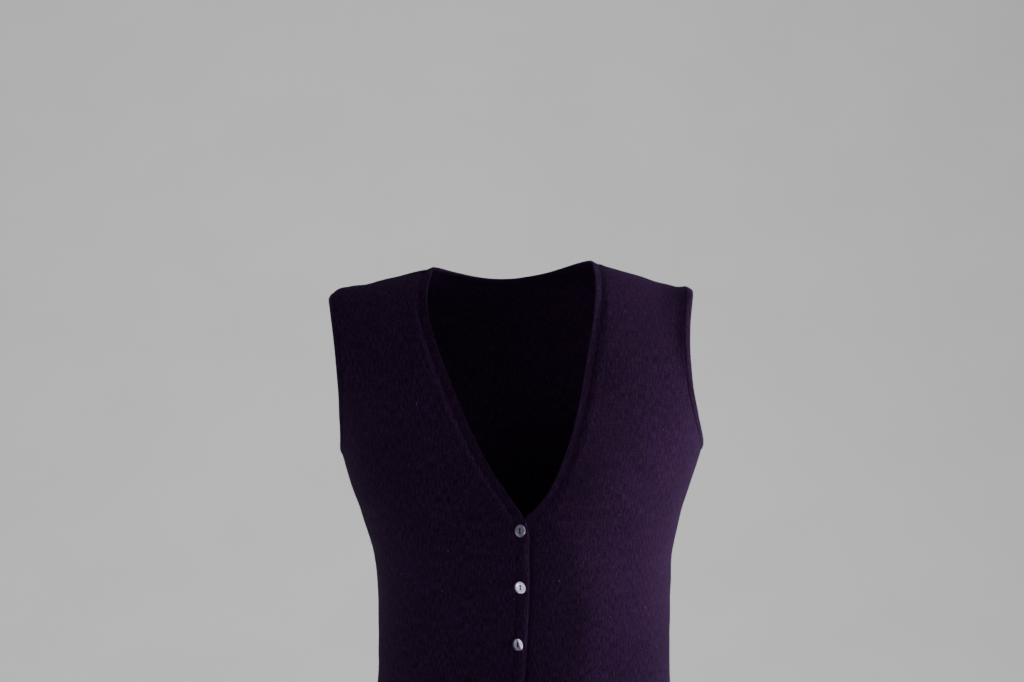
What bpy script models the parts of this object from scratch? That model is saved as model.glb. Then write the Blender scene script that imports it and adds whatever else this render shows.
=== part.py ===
"""Women's fine-knit sweater vest: deep V neck, buttoned front, doubled bands round the edges.

Metres, +Z up. +X is the wearer's left and the front faces -Y. The origin lies midway between the
two shoulder seams at the neck. Every piece is worked out from one smooth form, the inside of the
cloth on a general figure: sections below one another, rounded over at the shoulder line.
"""

import math

import bmesh
import bpy
import numpy as np
from mathutils import Matrix, Vector

MM = 0.001
RIGHT, LEFT = -1, 1  # the wearer's sides, as signs of X
FRONT, BACK = -1, 1  # as signs of Y

# The form: one row for each section, in millimetres, and how far below the shoulders it lies
SECTION_COLUMNS = ("drop", "centre", "half_width", "front", "back")
SECTIONS = (
    (-10, 4, 214, 64, 72),
    (40, 5, 211, 76, 90),
    (90, 7, 204, 93, 100),
    (140, 10.4, 189, 107, 104),
    (190, 10, 179, 116, 104),
    (215, 9.3, 171.5, 120, 102),
    (240, 9.4, 163, 123, 100),
    (265, 10.3, 156, 124, 97),
    (290, 11.3, 150.3, 122, 92),
    (325, 12.6, 147.8, 117, 86),
    (365, 12.6, 147.5, 110, 81),
    (435, 12.4, 149, 107, 83),
    (500, 12.2, 158, 110, 93),
    (565, 12, 172, 115, 105),
)
SQUARENESS = 0.35  # 0 makes the sections ellipses, 1 nearly boxes

# The shoulder line's height at places across the body, in millimetres
SHOULDER_COLUMNS = ("across", "height")
SHOULDERS = (
    (-200, -50),
    (-190, -44),
    (-183, -35),
    (-176, -25.5),
    (-162, -20.5),
    (-145, -18.5),
    (-130, -14.5),
    (-115, -11.5),
    (-100, -7.5),
    (-80, -2.5),
    (0, 0),
    (80, 2.5),
    (100, -4.5),
    (115, -9),
    (130, -13.6),
    (145, -19),
    (160, -22.6),
    (172, -26),
    (183, -28),
    (200, -35),
)
SHOULDER_ROUND = 85 * MM  # height over which the cloth turns over the shoulder

# The fronts' free edges: how far each lies towards its own side from the middle, in millimetres
EDGE_COLUMNS = ("drop", "right", "left")
FRONT_EDGES = (
    (-5, 77, 79.5),
    (3, 80, 79.8),
    (12, 84.5, 79.5),
    (25, 86.8, 77.8),
    (45, 85, 74.3),
    (70, 77.5, 68.3),
    (100, 66.5, 62.2),
    (132, 53.3, 54.7),
    (165, 38, 44.6),
    (190, 23.5, 34.2),
    (208, 11, 23.8),
    (220, 3, 13),
    (228, -2, 3.5),
    (238, -6, -4),
    (248, -7.8, -6),
    (262, -8.3, -6),
    (565, -8.3, -6),
)
DRIFT_COLUMNS = ("drop", "drift")
PLACKET_DRIFT = (
    (200, 0),
    (235, 0),
    (265, -1),
    (300, -1.4),
    (345, -3),
    (395, -5.2),
    (440, -6),
    (565, -6),
)

# Armholes, in millimetres: each edge's place on the shoulder line, and how far it swings inwards,
# most of all above the middle of its height
ARMHOLE_COLUMNS = ("side", "shoulder_end", "front_swing", "back_swing")
ARMHOLES = ((RIGHT, 182, 2.5, 8), (LEFT, 182, 18, 18))
UNDERARM_DROP = 180 * MM

BACK_NECK_DROP = 22 * MM
HEM_DROP = 565 * MM

WALL = 2.0 * MM
SEAM_GAP = 0.3 * MM
HEM_DEPTH = 18 * MM
HEM_STEP = 2 * MM  # height between the turned hem, which is thicker, and the single layer
HEM_EXTRA = 0.8 * MM
BAND_THICK = 3.0 * MM
BAND_UNDER = 0.4 * MM  # how far a doubled band stands inside the panel's inner face
BAND_ROUND = 0.9 * MM
BAND_CROWN = 0.3 * MM
NECKBAND_WIDTH = 8.5 * MM
PLACKET_WIDTH = 11.6 * MM
BAND_WIDENS_DROPS = (205, 260)  # between these a front's band widens from neckband to placket
ARMBAND_WIDTH = 8.0 * MM
BAND_TOP = BAND_THICK - BAND_UNDER + BAND_CROWN

# The right front laps over the left, so it is lifted by a doubled band and falls back beside it
LAP_LIFT = 3.4 * MM
LAP_FLAT = 9 * MM
LAP_FALL = 38 * MM
LAP_TOP_DROPS = (178, 224)  # no lift above the first, the whole lift below the second

# A soft ridge that the neckband's pull raises beside the right band
RIDGE_HEIGHT = 1.5 * MM
RIDGE_AWAY = 21
RIDGE_HALF_WIDTH = 9
RIDGE_MIDDLE_DROP = 105
RIDGE_HALF_LENGTH = 62

# The largest folds, as soft hills or hollows, in millimetres and degrees
FOLD_COLUMNS = ("across", "drop", "height", "half_width", "half_length", "lean")
FOLDS = {
    "front_right": (
        (-16, 226, -1.4, 7, 13, 35),
        (-104, 52, -0.9, 12, 34, 0),
        (-96, 335, -1.6, 22, 58, 10),
        (-52, 400, 1.3, 20, 62, -6),
    ),
    "front_left": (
        (18, 236, -1.1, 7, 15, -30),
        (112, 330, -1.4, 22, 55, -12),
        (60, 395, 1.2, 22, 60, 5),
    ),
    "back": (
        (6, 235, -3.0, 24, 100, 0),
        (-46, 338, 2.1, 62, 12, 7),
        (48, 356, 1.8, 56, 11, -6),
        (4, 386, 1.5, 70, 11, 2),
        (-104, 150, 1.1, 15, 46, 20),
        (112, 150, 1.1, 15, 46, -20),
    ),
}

# Buttons, in millimetres and degrees: the face leans by tilt towards a direction, 0 for +X, 90 up
BUTTON_COLUMNS = ("drop", "across", "tilt", "towards")
BUTTONS = (
    (239.5, -0.9, 42, 167),
    (294.2, -1.9, 50, 48),
    (353.6, -3.6, 52, 42),
    (410.6, -4.7, 38, 24),
    (467.8, -4.9, 34, 160),
    (524.6, -4.9, 36, 30),
)
BUTTON_RADIUS = 6.25 * MM
BUTTON_THICK = 2.4 * MM
BUTTON_RIM = 1.7 * MM
BUTTON_DISH = 0.55 * MM
BUTTON_BEVEL = 0.4 * MM
BUTTON_SIDES = 24
BACK_RINGS = (0.5, 0.6, 0.7, 0.8, 0.9, 1)  # where a button's back is tried against the cloth
HOLE_RADIUS = 0.8 * MM
HOLE_SPACING = 3.0 * MM
HOLE_SIDES = 8

# Grid sizes
PANEL_COLUMNS = 14
COLUMN_EASE = 1.3  # above 1, a front's columns lie closer together near the middle
NECK_COLUMNS = 14
ARMHOLE_STEPS = 12
PLACKET_ROWS = 11
APEX_ROWS = 8
APEX_DROP = 262 * MM
SETTLE_ROUNDS = 4  # steps that bring a point onto the form
LEVEL_ROUNDS = 6  # steps that bring a row to its height
SHARP_ANGLE = math.radians(50)
BEVEL_ANGLE = math.radians(15)

KNIT_COLOUR = (0.030, 0.011, 0.042, 1)
BAND_COLOUR = (0.034, 0.013, 0.047, 1)
SHELL_COLOUR = (0.62, 0.60, 0.63, 1)
CLOTH_ROUGHNESS = 0.95
CLOTH_SHEEN = 0.4
SHELL_ROUGHNESS = 0.25


def read(table, columns, name, at):
    """A table's column at places along its first one, on a smooth curve through its rows."""
    rows = np.array(table, float)
    along, value = rows[:, 0], rows[:, columns.index(name)]
    slope = np.gradient(value, along)
    at = np.clip(at, along[0], along[-1])
    i = np.clip(np.searchsorted(along, at) - 1, 0, len(along) - 2)
    step = along[i + 1] - along[i]
    t = (at - along[i]) / step
    near = (1 + 2 * t) * (1 - t) ** 2 * value[i] + t * (1 - t) ** 2 * step * slope[i]
    far = t**2 * (3 - 2 * t) * value[i + 1] - t**2 * (1 - t) * step * slope[i + 1]
    return near + far


def smooth(t):
    """Rises softly from 0 to 1 as t does."""
    t = np.clip(t, 0, 1)
    return t * t * (3 - 2 * t)


def section(name, z):
    return read(SECTIONS, SECTION_COLUMNS, name, -z / MM) * MM


def shoulder_height(x):
    return read(SHOULDERS, SHOULDER_COLUMNS, "height", x / MM) * MM


def rounding(x, z):
    """1 on the body and 0 on the shoulder line, along a quarter circle between them."""
    t = np.minimum((shoulder_height(x) - z) / SHOULDER_ROUND, 1)
    return t * (2 - t)


def fullness(x, z):
    """1 at a section's middle and 0 at its sides."""
    across = ((x - section("centre", z)) / section("half_width", z)) ** 2
    return 1 - (1 - SQUARENESS) * across - SQUARENESS * across**2


def body(x, z, face):
    """Points of the form at x and z, on its front or back."""
    depth = section("front" if face == FRONT else "back", z)
    y = face * depth * np.sqrt(np.maximum(rounding(x, z) * fullness(x, z), 0))
    return np.stack(np.broadcast_arrays(x, y, z), axis=-1)


def field(points):
    """Below 0 inside the form, 0 on it and above 0 outside."""
    x, y, z = points[..., 0], points[..., 1], points[..., 2]
    depth = np.where(y < 0, section("front", z), section("back", z))
    return (y / depth) ** 2 - rounding(x, z) * fullness(x, z)


def slope_of_field(points):
    step = 0.01 * MM
    sides = np.eye(3) * step
    parts = [(field(points + side) - field(points - side)) / (2 * step) for side in sides]
    return np.stack(parts, axis=-1)


def unit(vectors):
    return vectors / np.linalg.norm(vectors, axis=-1, keepdims=True)


def outward(points):
    return unit(slope_of_field(points))


def settle(points):
    """Moves points that are near the form onto it."""
    for _ in range(SETTLE_ROUNDS):
        slope = slope_of_field(points)
        share = field(points) / np.sum(slope**2, axis=-1)
        points = points - share[..., None] * slope
    return points


def placket_drift(z):
    return read(PLACKET_DRIFT, DRIFT_COLUMNS, "drift", -z / MM) * MM


def free_edge(side, z):
    """Where a front's free edge lies across the body."""
    name = "right" if side == RIGHT else "left"
    return side * read(FRONT_EDGES, EDGE_COLUMNS, name, -z / MM) * MM + placket_drift(z)


def lap(x, z):
    """How far the right front is lifted to lap over the left one."""
    high, low = LAP_TOP_DROPS
    down = smooth((-z / MM - high) / (low - high))
    away = -(x - placket_drift(z)) - LAP_FLAT
    return LAP_LIFT * down * (1 - smooth(away / LAP_FALL))


def neck_ridge(x, z):
    """The soft ridge beside the right neckband."""
    away = (free_edge(RIGHT, z) - x) / MM
    along = (-z / MM - RIDGE_MIDDLE_DROP) / RIDGE_HALF_LENGTH
    return RIDGE_HEIGHT * np.exp(-(((away - RIDGE_AWAY) / RIDGE_HALF_WIDTH) ** 2) - along**4)


def relief(piece, points):
    """How far a piece's cloth stands off the form: its folds, and the lap of the right front."""
    x, z = points[..., 0], points[..., 2]
    total = np.zeros(x.shape)
    for row in FOLDS[piece]:
        fold = dict(zip(FOLD_COLUMNS, row))
        lean = math.radians(fold["lean"])
        aside, down = x / MM - fold["across"], -z / MM - fold["drop"]
        u = (aside * math.cos(lean) + down * math.sin(lean)) / fold["half_width"]
        v = (down * math.cos(lean) - aside * math.sin(lean)) / fold["half_length"]
        total = total + fold["height"] * MM * np.exp(-(u**2) - v**2)
    if piece == "front_right":
        total = total + lap(x, z) + neck_ridge(x, z)
    return total


def band_width(z):
    """A front's band is wide on the placket and narrow round the neck."""
    high, low = BAND_WIDENS_DROPS
    share = smooth((-z / MM - high) / (low - high))
    return NECKBAND_WIDTH + (PLACKET_WIDTH - NECKBAND_WIDTH) * share


def band_section(width):
    """A doubled band's rounded section: across from its free edge, and up from the form."""
    low, high = -BAND_UNDER, BAND_THICK - BAND_UNDER
    across = (0, 0, BAND_ROUND, width / 2, width - BAND_ROUND, width, width, width - BAND_ROUND, BAND_ROUND)
    up = (
        low + BAND_ROUND,
        high - BAND_ROUND,
        high,
        high + BAND_CROWN,
        high,
        high - BAND_ROUND,
        low + BAND_ROUND,
        low,
        low,
    )
    return across, up


def band_rows(piece, edge, inwards, widths):
    """A band's section at each point of its free edge. Inwards points to the panel."""
    rows = []
    for point, way, width in zip(edge, inwards, widths):
        across, up = band_section(width)
        base = settle(point + np.outer(across, way))
        height = np.array(up) + relief(piece, base)
        rows.append(base + outward(base) * height[:, None])
    return np.array(rows)


def seam_line(edge, inwards, widths):
    """Where the panel begins, a seam's gap beyond the band."""
    return settle(edge + inwards * (np.asarray(widths) + SEAM_GAP)[:, None])


def tangents(edge):
    steps = np.linalg.norm(np.diff(edge, axis=0), axis=1)
    return unit(np.gradient(edge, np.concatenate([[0], np.cumsum(steps)]), axis=0))


def armhole_edge(side, face, steps):
    """The armhole's free edge from the shoulder line down to the underarm."""
    row = next(dict(zip(ARMHOLE_COLUMNS, r)) for r in ARMHOLES if r[0] == side)
    turn = np.linspace(0, math.pi, steps + 1)
    share = (1 - np.cos(turn)) / 2
    top_x = side * row["shoulder_end"] * MM
    top_z = shoulder_height(top_x)
    low_z = -UNDERARM_DROP
    low_x = section("centre", low_z) + side * section("half_width", low_z)
    swing = row["front_swing" if face == FRONT else "back_swing"] * MM
    z = top_z + (low_z - top_z) * share
    x = top_x + (low_x - top_x) * share - side * swing * np.sin(turn) ** 2 * (1 - share / 2)
    edge = body(x, z, face)
    edge[[0, -1], 1] = 0
    return edge


def armhole(side):
    """The closed free edge round an armhole, and the way from it into the cloth."""
    front = armhole_edge(side, FRONT, ARMHOLE_STEPS)
    back = armhole_edge(side, BACK, ARMHOLE_STEPS)[::-1]
    edge = np.concatenate([front, back[1:-1]])
    along = unit(np.roll(edge, -1, axis=0) - np.roll(edge, 1, axis=0))
    along[0], along[ARMHOLE_STEPS] = (0, -1, 0), (0, 1, 0)
    return edge, unit(-side * np.cross(outward(edge), along))


def front_edge(side, levels, shares):
    """A front's free edge from hem to shoulder line, and the way from it into the panel."""
    top_x = free_edge(side, 0.0)
    top_z = shoulder_height(top_x)
    z = np.concatenate([levels, mix(levels[-1], top_z, shares)])
    edge = body(free_edge(side, z), z, FRONT)
    edge[-1] = (top_x, 0, top_z)
    along = tangents(edge)
    along[-1] = (0, 1, 0)
    return edge, unit(-side * np.cross(outward(edge), along))


def back_neck_edge():
    """The back neck's free edge from the right shoulder line to the left."""
    turn = np.linspace(-math.pi / 2, math.pi / 2, NECK_COLUMNS + 1)
    right_x, left_x = free_edge(RIGHT, 0.0), free_edge(LEFT, 0.0)
    right_z, left_z = shoulder_height(right_x), shoulder_height(left_x)
    share = (1 + np.sin(turn)) / 2
    x = right_x + (left_x - right_x) * share
    z = right_z + (left_z - right_z) * share - BACK_NECK_DROP * np.cos(turn) ** 2
    edge = body(x, z, BACK)
    edge[[0, -1], 1] = 0
    along = tangents(edge)
    along[0], along[-1] = (0, 1, 0), (0, -1, 0)
    return edge, unit(np.cross(outward(edge), along))


def angle_across(points):
    """Where points lie round their section: -90 degrees at the right side, 90 at the left."""
    z = points[..., 2]
    share = (points[..., 0] - section("centre", z)) / section("half_width", z)
    return np.arcsin(np.clip(share, -1, 1))


def across_at(angle, z):
    return section("centre", z) + section("half_width", z) * np.sin(angle)


def mix(a, b, share):
    return a + (b - a) * share


def levels_below(underarm):
    """The heights of the rows from the hem to the underarm."""
    hem = [-HEM_DROP, -HEM_DROP + HEM_DEPTH, -HEM_DROP + HEM_DEPTH + HEM_STEP]
    placket = np.linspace(hem[-1], -APEX_DROP, PLACKET_ROWS)[1:]
    apex = np.linspace(-APEX_DROP, underarm, APEX_ROWS + 1)[1:]
    return np.concatenate([hem, placket, apex])


def shares_above():
    """The rows' shares of the way from the underarm to the shoulder line, close at the top."""
    turn = np.linspace(math.pi, 0, ARMHOLE_STEPS + 1)[1:]
    low = 0.5 + (turn - math.pi / 2) / math.pi
    return 1 - np.where(turn > math.pi / 2, low, (1 - np.cos(turn)) / 2)


def side_seam(side, levels):
    return body(section("centre", levels) + side * section("half_width", levels), levels, FRONT) * (1, 0, 1)


def panel_row(angles, heights_at, face):
    """One row of points, whose heights depend on where they lie across."""
    z = heights_at(np.zeros(len(angles)))
    for _ in range(LEVEL_ROUNDS):
        z = heights_at(across_at(angles, z))
    return body(across_at(angles, z), z, face)


def front_grid(side, inner, outer, turn_row):
    """A front's rows of points, from its inner edge to its side seam or armhole."""
    share = np.linspace(0, 1, PANEL_COLUMNS + 1) ** COLUMN_EASE
    underarm = outer[turn_row, 2]

    def below_shoulder(point):
        top = shoulder_height(point[0])
        return (top - point[2]) / (top - underarm)

    grid = []
    for i, (start, end) in enumerate(zip(inner, outer)):
        side_angle = side * math.pi / 2 if i <= turn_row else angle_across(end)
        angles = mix(angle_across(start), side_angle, share)
        if i < turn_row:
            level = mix(start[2], end[2], share)
            row = panel_row(angles, lambda x, level=level: level, FRONT)
        else:
            drop = mix(below_shoulder(start), below_shoulder(end), share)

            def heights(x, drop=drop):
                return mix(shoulder_height(x), underarm, drop)

            row = panel_row(angles, heights, FRONT)
        row[0], row[-1] = start, end
        grid.append(row)
    grid[-1][:, 1] = 0
    return np.array(grid)


def back_grid(top, right, left, turn_row, shares):
    """The back's rows of points, from the right side to the left one."""
    angle = angle_across(top)
    share = (angle - angle[0]) / (angle[-1] - angle[0])
    edge_pull = (2 * share - 1) ** 2
    grid = []
    for i, (start, end) in enumerate(zip(right, left)):
        if i < turn_row:
            angles = mix(-math.pi / 2, math.pi / 2, share)
            level = mix(start[2], end[2], share)
            row = panel_row(angles, lambda x, level=level: level, BACK)
        else:
            angles = mix(angle_across(start), angle_across(end), share)
            floor = mix(right[turn_row, 2], left[turn_row, 2], share)
            middle = 1 - shares[i - turn_row - 1] if i > turn_row else 1.0
            at_right = (top[0, 2] - start[2]) / (top[0, 2] - floor[0])
            at_left = (top[-1, 2] - end[2]) / (top[-1, 2] - floor[-1])
            drop = mix(middle, np.where(share < 0.5, at_right, at_left), edge_pull)
            row = panel_row(angles, lambda x, z=mix(top[:, 2], floor, drop): z, BACK)
        row[0], row[-1] = start, end
        grid.append(row)
    grid[-1] = top
    return np.array(grid)


def cloth(piece, grid):
    """The inner and outer points of a panel's wall, thicker along its turned hem."""
    ways = outward(grid)
    inner = grid + ways * relief(piece, grid)[..., None]
    above_hem = grid[..., 2] + HEM_DROP - HEM_DEPTH
    thick = WALL + HEM_EXTRA * (1 - smooth(above_hem / HEM_STEP))
    return inner, inner + ways * thick[..., None]


def new_object(name, mesh, material, collection):
    data = bpy.data.meshes.new(name)
    mesh.to_mesh(data)
    mesh.free()
    data.materials.append(material)
    data.shade_smooth()
    data.set_sharp_from_angle(angle=SHARP_ANGLE)
    made = bpy.data.objects.new(name, data)
    collection.objects.link(made)
    return made


def wall(name, inner, outer, material, collection):
    """A closed wall between two grids of points."""
    mesh = bmesh.new()
    low, high = ([[mesh.verts.new(p) for p in row] for row in grid] for grid in (inner, outer))
    rows, columns = inner.shape[0] - 1, inner.shape[1] - 1
    for i in range(rows):
        for j in range(columns):
            corners = ((i, j), (i, j + 1), (i + 1, j + 1), (i + 1, j))
            mesh.faces.new([high[a][b] for a, b in corners])
            mesh.faces.new([low[a][b] for a, b in reversed(corners)])
    rim = [(0, j) for j in range(columns)] + [(i, columns) for i in range(rows)]
    rim += [(rows, j) for j in range(columns, 0, -1)] + [(i, 0) for i in range(rows, 0, -1)]
    for (a, b), (c, d) in zip(rim, rim[1:] + rim[:1]):
        mesh.faces.new((low[a][b], low[c][d], high[c][d], high[a][b]))
    bmesh.ops.recalc_face_normals(mesh, faces=mesh.faces)
    return new_object(name, mesh, material, collection)


def strip(name, rows, closed, material, collection):
    """A band through its sections: a ring if closed, or else with a flat cap at each end."""
    mesh = bmesh.new()
    loops = [[mesh.verts.new(p) for p in row] for row in rows]
    pairs = list(zip(loops, loops[1:]))
    if closed:
        pairs.append((loops[-1], loops[0]))
    for a, b in pairs:
        for k in range(len(a)):
            n = (k + 1) % len(a)
            mesh.faces.new((a[k], a[n], b[n], b[k]))
    if not closed:
        mesh.faces.new(loops[0])
        mesh.faces.new(loops[-1])
    bmesh.ops.recalc_face_normals(mesh, faces=mesh.faces)
    return new_object(name, mesh, material, collection)


def seam_shift(points, face):
    """Half a seam's gap, away from the plane between front and back."""
    points[..., 1] += face * SEAM_GAP / 2


def cutter(name, location, collection):
    """A round cutter through a button for one of its holes."""
    mesh = bmesh.new()
    bmesh.ops.create_cone(
        mesh,
        cap_ends=True,
        segments=HOLE_SIDES,
        radius1=HOLE_RADIUS,
        radius2=HOLE_RADIUS,
        depth=4 * BUTTON_THICK,
    )
    data = bpy.data.meshes.new(name)
    mesh.to_mesh(data)
    mesh.free()
    made = bpy.data.objects.new(name, data)
    made.location = location
    made.hide_render = True
    made.display_type = "WIRE"
    collection.objects.link(made)
    return made


def button(name, material, collection, cutters):
    """A round two-hole button lying on its back at z = 0, with a raised rim round a dish."""
    mesh = bmesh.new()
    bmesh.ops.create_cone(
        mesh,
        cap_ends=True,
        segments=BUTTON_SIDES,
        radius1=BUTTON_RADIUS,
        radius2=BUTTON_RADIUS,
        depth=BUTTON_THICK,
    )
    bmesh.ops.translate(mesh, verts=mesh.verts, vec=(0, 0, BUTTON_THICK / 2))
    top = max(mesh.faces, key=lambda f: f.calc_center_median().z)
    bmesh.ops.inset_region(mesh, faces=[top], thickness=BUTTON_RIM, depth=-BUTTON_DISH)
    made = new_object(name, mesh, material, collection)
    bevel = made.modifiers.new("rounded edges", "BEVEL")
    bevel.width = BUTTON_BEVEL
    bevel.segments = 2
    bevel.limit_method = "ANGLE"
    bevel.angle_limit = BEVEL_ANGLE
    for side in (-1, 1):
        place = (0, side * HOLE_SPACING / 2, BUTTON_THICK / 2)
        hole = made.modifiers.new("hole", "BOOLEAN")
        hole.operation = "DIFFERENCE"
        hole.object = cutter(f"{name}_hole_{side}", place, cutters)
        hole.object.parent = made
    return made


def outer_face(points):
    """How far the right front's outer face stands off the form, on its band or beside it."""
    across = free_edge(RIGHT, points[..., 2]) - points[..., 0]
    half = band_width(points[..., 2]) / 2
    band = BAND_TOP - BAND_CROWN * np.abs(across / half - 1)
    on_band = (across > 0) & (across < 2 * half)
    return relief("front_right", points) + np.where(on_band, band, WALL)


def button_place(row):
    """Where a button lies: its face leaning as stated, its back lowered onto the cloth."""
    z = -row["drop"] * MM
    on_form = body(np.array(row["across"] * MM), np.array(z), FRONT)
    way = outward(on_form[None])[0]
    aside = unit(np.cross(-way, (0, 0, 1)))
    up = np.cross(aside, -way)
    direction, tilt = math.radians(row["towards"]), math.radians(row["tilt"])
    lean = aside * math.cos(direction) + up * math.sin(direction)
    face = way * math.cos(tilt) + lean * math.sin(tilt)
    holes_along = unit(up - face * np.dot(up, face))
    right = np.cross(holes_along, face)
    turn = Matrix((right, holes_along, face)).transposed()

    around = np.linspace(0, 2 * math.pi, BUTTON_SIDES, endpoint=False)
    ring = np.outer(np.cos(around), right) + np.outer(np.sin(around), holes_along)
    back = on_form + np.concatenate([ring * share for share in BACK_RINGS]) * BUTTON_RADIUS
    height = (back - body(back[:, 0], back[:, 2], FRONT)) @ way
    lift = np.max(outer_face(back) - height) + SEAM_GAP / math.cos(tilt)
    return Matrix.Translation(Vector(on_form + way * lift)) @ turn.to_4x4()


def make_material(name, colour, roughness, sheen):
    made = bpy.data.materials.new(name)
    made.use_nodes = True
    shader = made.node_tree.nodes["Principled BSDF"]
    shader.inputs["Base Color"].default_value = colour
    shader.inputs["Roughness"].default_value = roughness
    shader.inputs["Metallic"].default_value = 0
    shader.inputs["Sheen Weight"].default_value = sheen
    return made


def new_collection(name):
    made = bpy.data.collections.new(name)
    bpy.context.scene.collection.children.link(made)
    return made


def main():
    for leftover in list(bpy.data.objects):
        bpy.data.objects.remove(leftover)
    vest, cutters = new_collection("sweater_vest"), new_collection("cutters")
    knit = make_material("knit", KNIT_COLOUR, CLOTH_ROUGHNESS, CLOTH_SHEEN)
    edging = make_material("band_knit", BAND_COLOUR, CLOTH_ROUGHNESS, CLOTH_SHEEN)
    shell = make_material("shell", SHELL_COLOUR, SHELL_ROUGHNESS, 0)

    underarm_points, armhole_seams = {}, {}
    for side, name in ((RIGHT, "armband_right"), (LEFT, "armband_left")):
        edge, inwards = armhole(side)
        widths = np.full(len(edge), ARMBAND_WIDTH)
        armhole_seams[side] = seam_line(edge, inwards, widths)
        underarm_points[side] = armhole_seams[side][ARMHOLE_STEPS]
        rows = band_rows("back", edge, inwards, widths)
        strip(name, rows, True, edging, vest)

    shares = shares_above()
    tops, sides = {}, {}
    for side, word in ((RIGHT, "right"), (LEFT, "left")):
        panel = "front_" + word
        levels = levels_below(underarm_points[side][2])
        turn_row = len(levels) - 1
        edge, inwards = front_edge(side, levels, shares)
        widths = band_width(edge[:, 2])
        seam = seam_line(edge, inwards, widths)
        rows = band_rows(panel, edge, inwards, widths)
        seam_shift(rows[-1], FRONT)
        strip("band_" + word, rows, False, edging, vest)

        ring = armhole_seams[side]
        upwards = ring[: ARMHOLE_STEPS + 1][::-1]
        outer = np.concatenate([side_seam(side, levels[:-1]), upwards])
        grid = front_grid(side, seam, outer, turn_row)
        tops[side] = grid[-1].copy()
        up_the_back = np.concatenate([ring[ARMHOLE_STEPS:], ring[:1]])
        sides[side] = np.concatenate([side_seam(side, levels[:-1]), up_the_back])
        inner, outside = cloth(panel, grid)
        for points in (inner, outside):
            seam_shift(points[-1], FRONT)
            seam_shift(points[: turn_row + 1, -1], FRONT)
        wall(panel, inner, outside, knit, vest)

    edge, inwards = back_neck_edge()
    widths = np.full(len(edge), NECKBAND_WIDTH)
    seam = seam_line(edge, inwards, widths)
    rows = band_rows("back", edge, inwards, widths)
    seam_shift(rows[0], BACK)
    seam_shift(rows[-1], BACK)
    strip("band_back_neck", rows, False, edging, vest)
    top = np.concatenate([tops[RIGHT][::-1], seam[1:-1], tops[LEFT]])
    grid = back_grid(top, sides[RIGHT], sides[LEFT], turn_row, shares)
    inner, outside = cloth("back", grid)
    for points in (inner, outside):
        seam_shift(points[-1, : PANEL_COLUMNS + 1], BACK)
        seam_shift(points[-1, -PANEL_COLUMNS - 1 :], BACK)
        seam_shift(points[: turn_row + 1, 0], BACK)
        seam_shift(points[: turn_row + 1, -1], BACK)
    wall("back", inner, outside, knit, vest)

    for number, values in enumerate(BUTTONS, start=1):
        made = button(f"button_{number}", shell, vest, cutters)
        made.matrix_world = button_place(dict(zip(BUTTON_COLUMNS, values)))


main()
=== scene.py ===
"""Looks of the women's fine-knit sweater vest: fine cloth, bands, seams, mother-of-pearl buttons
and nap.

Metres, +Z up, the front faces -Y, +X is the wearer's left. The form, the bands and the panels are
worked out as they are for the solids, in smaller steps, with small rolls, dips and nap added.
"""
import math

import bpy
import numpy as np
from mathutils import Matrix, Vector


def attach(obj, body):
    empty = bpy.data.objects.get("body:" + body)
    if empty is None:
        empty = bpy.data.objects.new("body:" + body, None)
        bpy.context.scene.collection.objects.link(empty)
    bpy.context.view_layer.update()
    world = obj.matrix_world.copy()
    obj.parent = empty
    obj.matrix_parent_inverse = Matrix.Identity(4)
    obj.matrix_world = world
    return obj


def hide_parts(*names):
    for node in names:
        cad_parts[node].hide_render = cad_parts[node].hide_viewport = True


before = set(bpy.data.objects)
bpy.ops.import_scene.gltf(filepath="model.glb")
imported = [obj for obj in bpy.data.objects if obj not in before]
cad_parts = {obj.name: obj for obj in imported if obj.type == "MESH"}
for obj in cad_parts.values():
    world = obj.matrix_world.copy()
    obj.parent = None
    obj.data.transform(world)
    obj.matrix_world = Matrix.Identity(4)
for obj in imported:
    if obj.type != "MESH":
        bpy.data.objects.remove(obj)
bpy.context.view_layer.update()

MM = 0.001
RIGHT, LEFT = -1, 1  # the wearer's sides, as signs of X
FRONT, BACK = -1, 1  # as signs of Y

# The form: one row for each section, in millimetres, and how far below the shoulders it lies
SECTION_COLUMNS = ("drop", "centre", "half_width", "front", "back")
SECTIONS = (
    (-10, 4, 214, 64, 72),
    (40, 5, 211, 76, 90),
    (90, 7, 204, 93, 100),
    (140, 10.4, 189, 107, 104),
    (190, 10, 179, 116, 104),
    (215, 9.3, 171.5, 120, 102),
    (240, 9.4, 163, 123, 100),
    (265, 10.3, 156, 124, 97),
    (290, 11.3, 150.3, 122, 92),
    (325, 12.6, 147.8, 117, 86),
    (365, 12.6, 147.5, 110, 81),
    (435, 12.4, 149, 107, 83),
    (500, 12.2, 158, 110, 93),
    (565, 12, 172, 115, 105),
)
SQUARENESS = 0.35
FLATNESS = 0.6  # a section's depth to its half width, near enough for the knit's columns

SHOULDER_COLUMNS = ("across", "height")
SHOULDERS = (
    (-200, -50),
    (-190, -44),
    (-183, -35),
    (-176, -25.5),
    (-162, -20.5),
    (-145, -18.5),
    (-130, -14.5),
    (-115, -11.5),
    (-100, -7.5),
    (-80, -2.5),
    (0, 0),
    (80, 2.5),
    (100, -4.5),
    (115, -9),
    (130, -13.6),
    (145, -19),
    (160, -22.6),
    (172, -26),
    (183, -28),
    (200, -35),
)
SHOULDER_ROUND = 85 * MM

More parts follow.
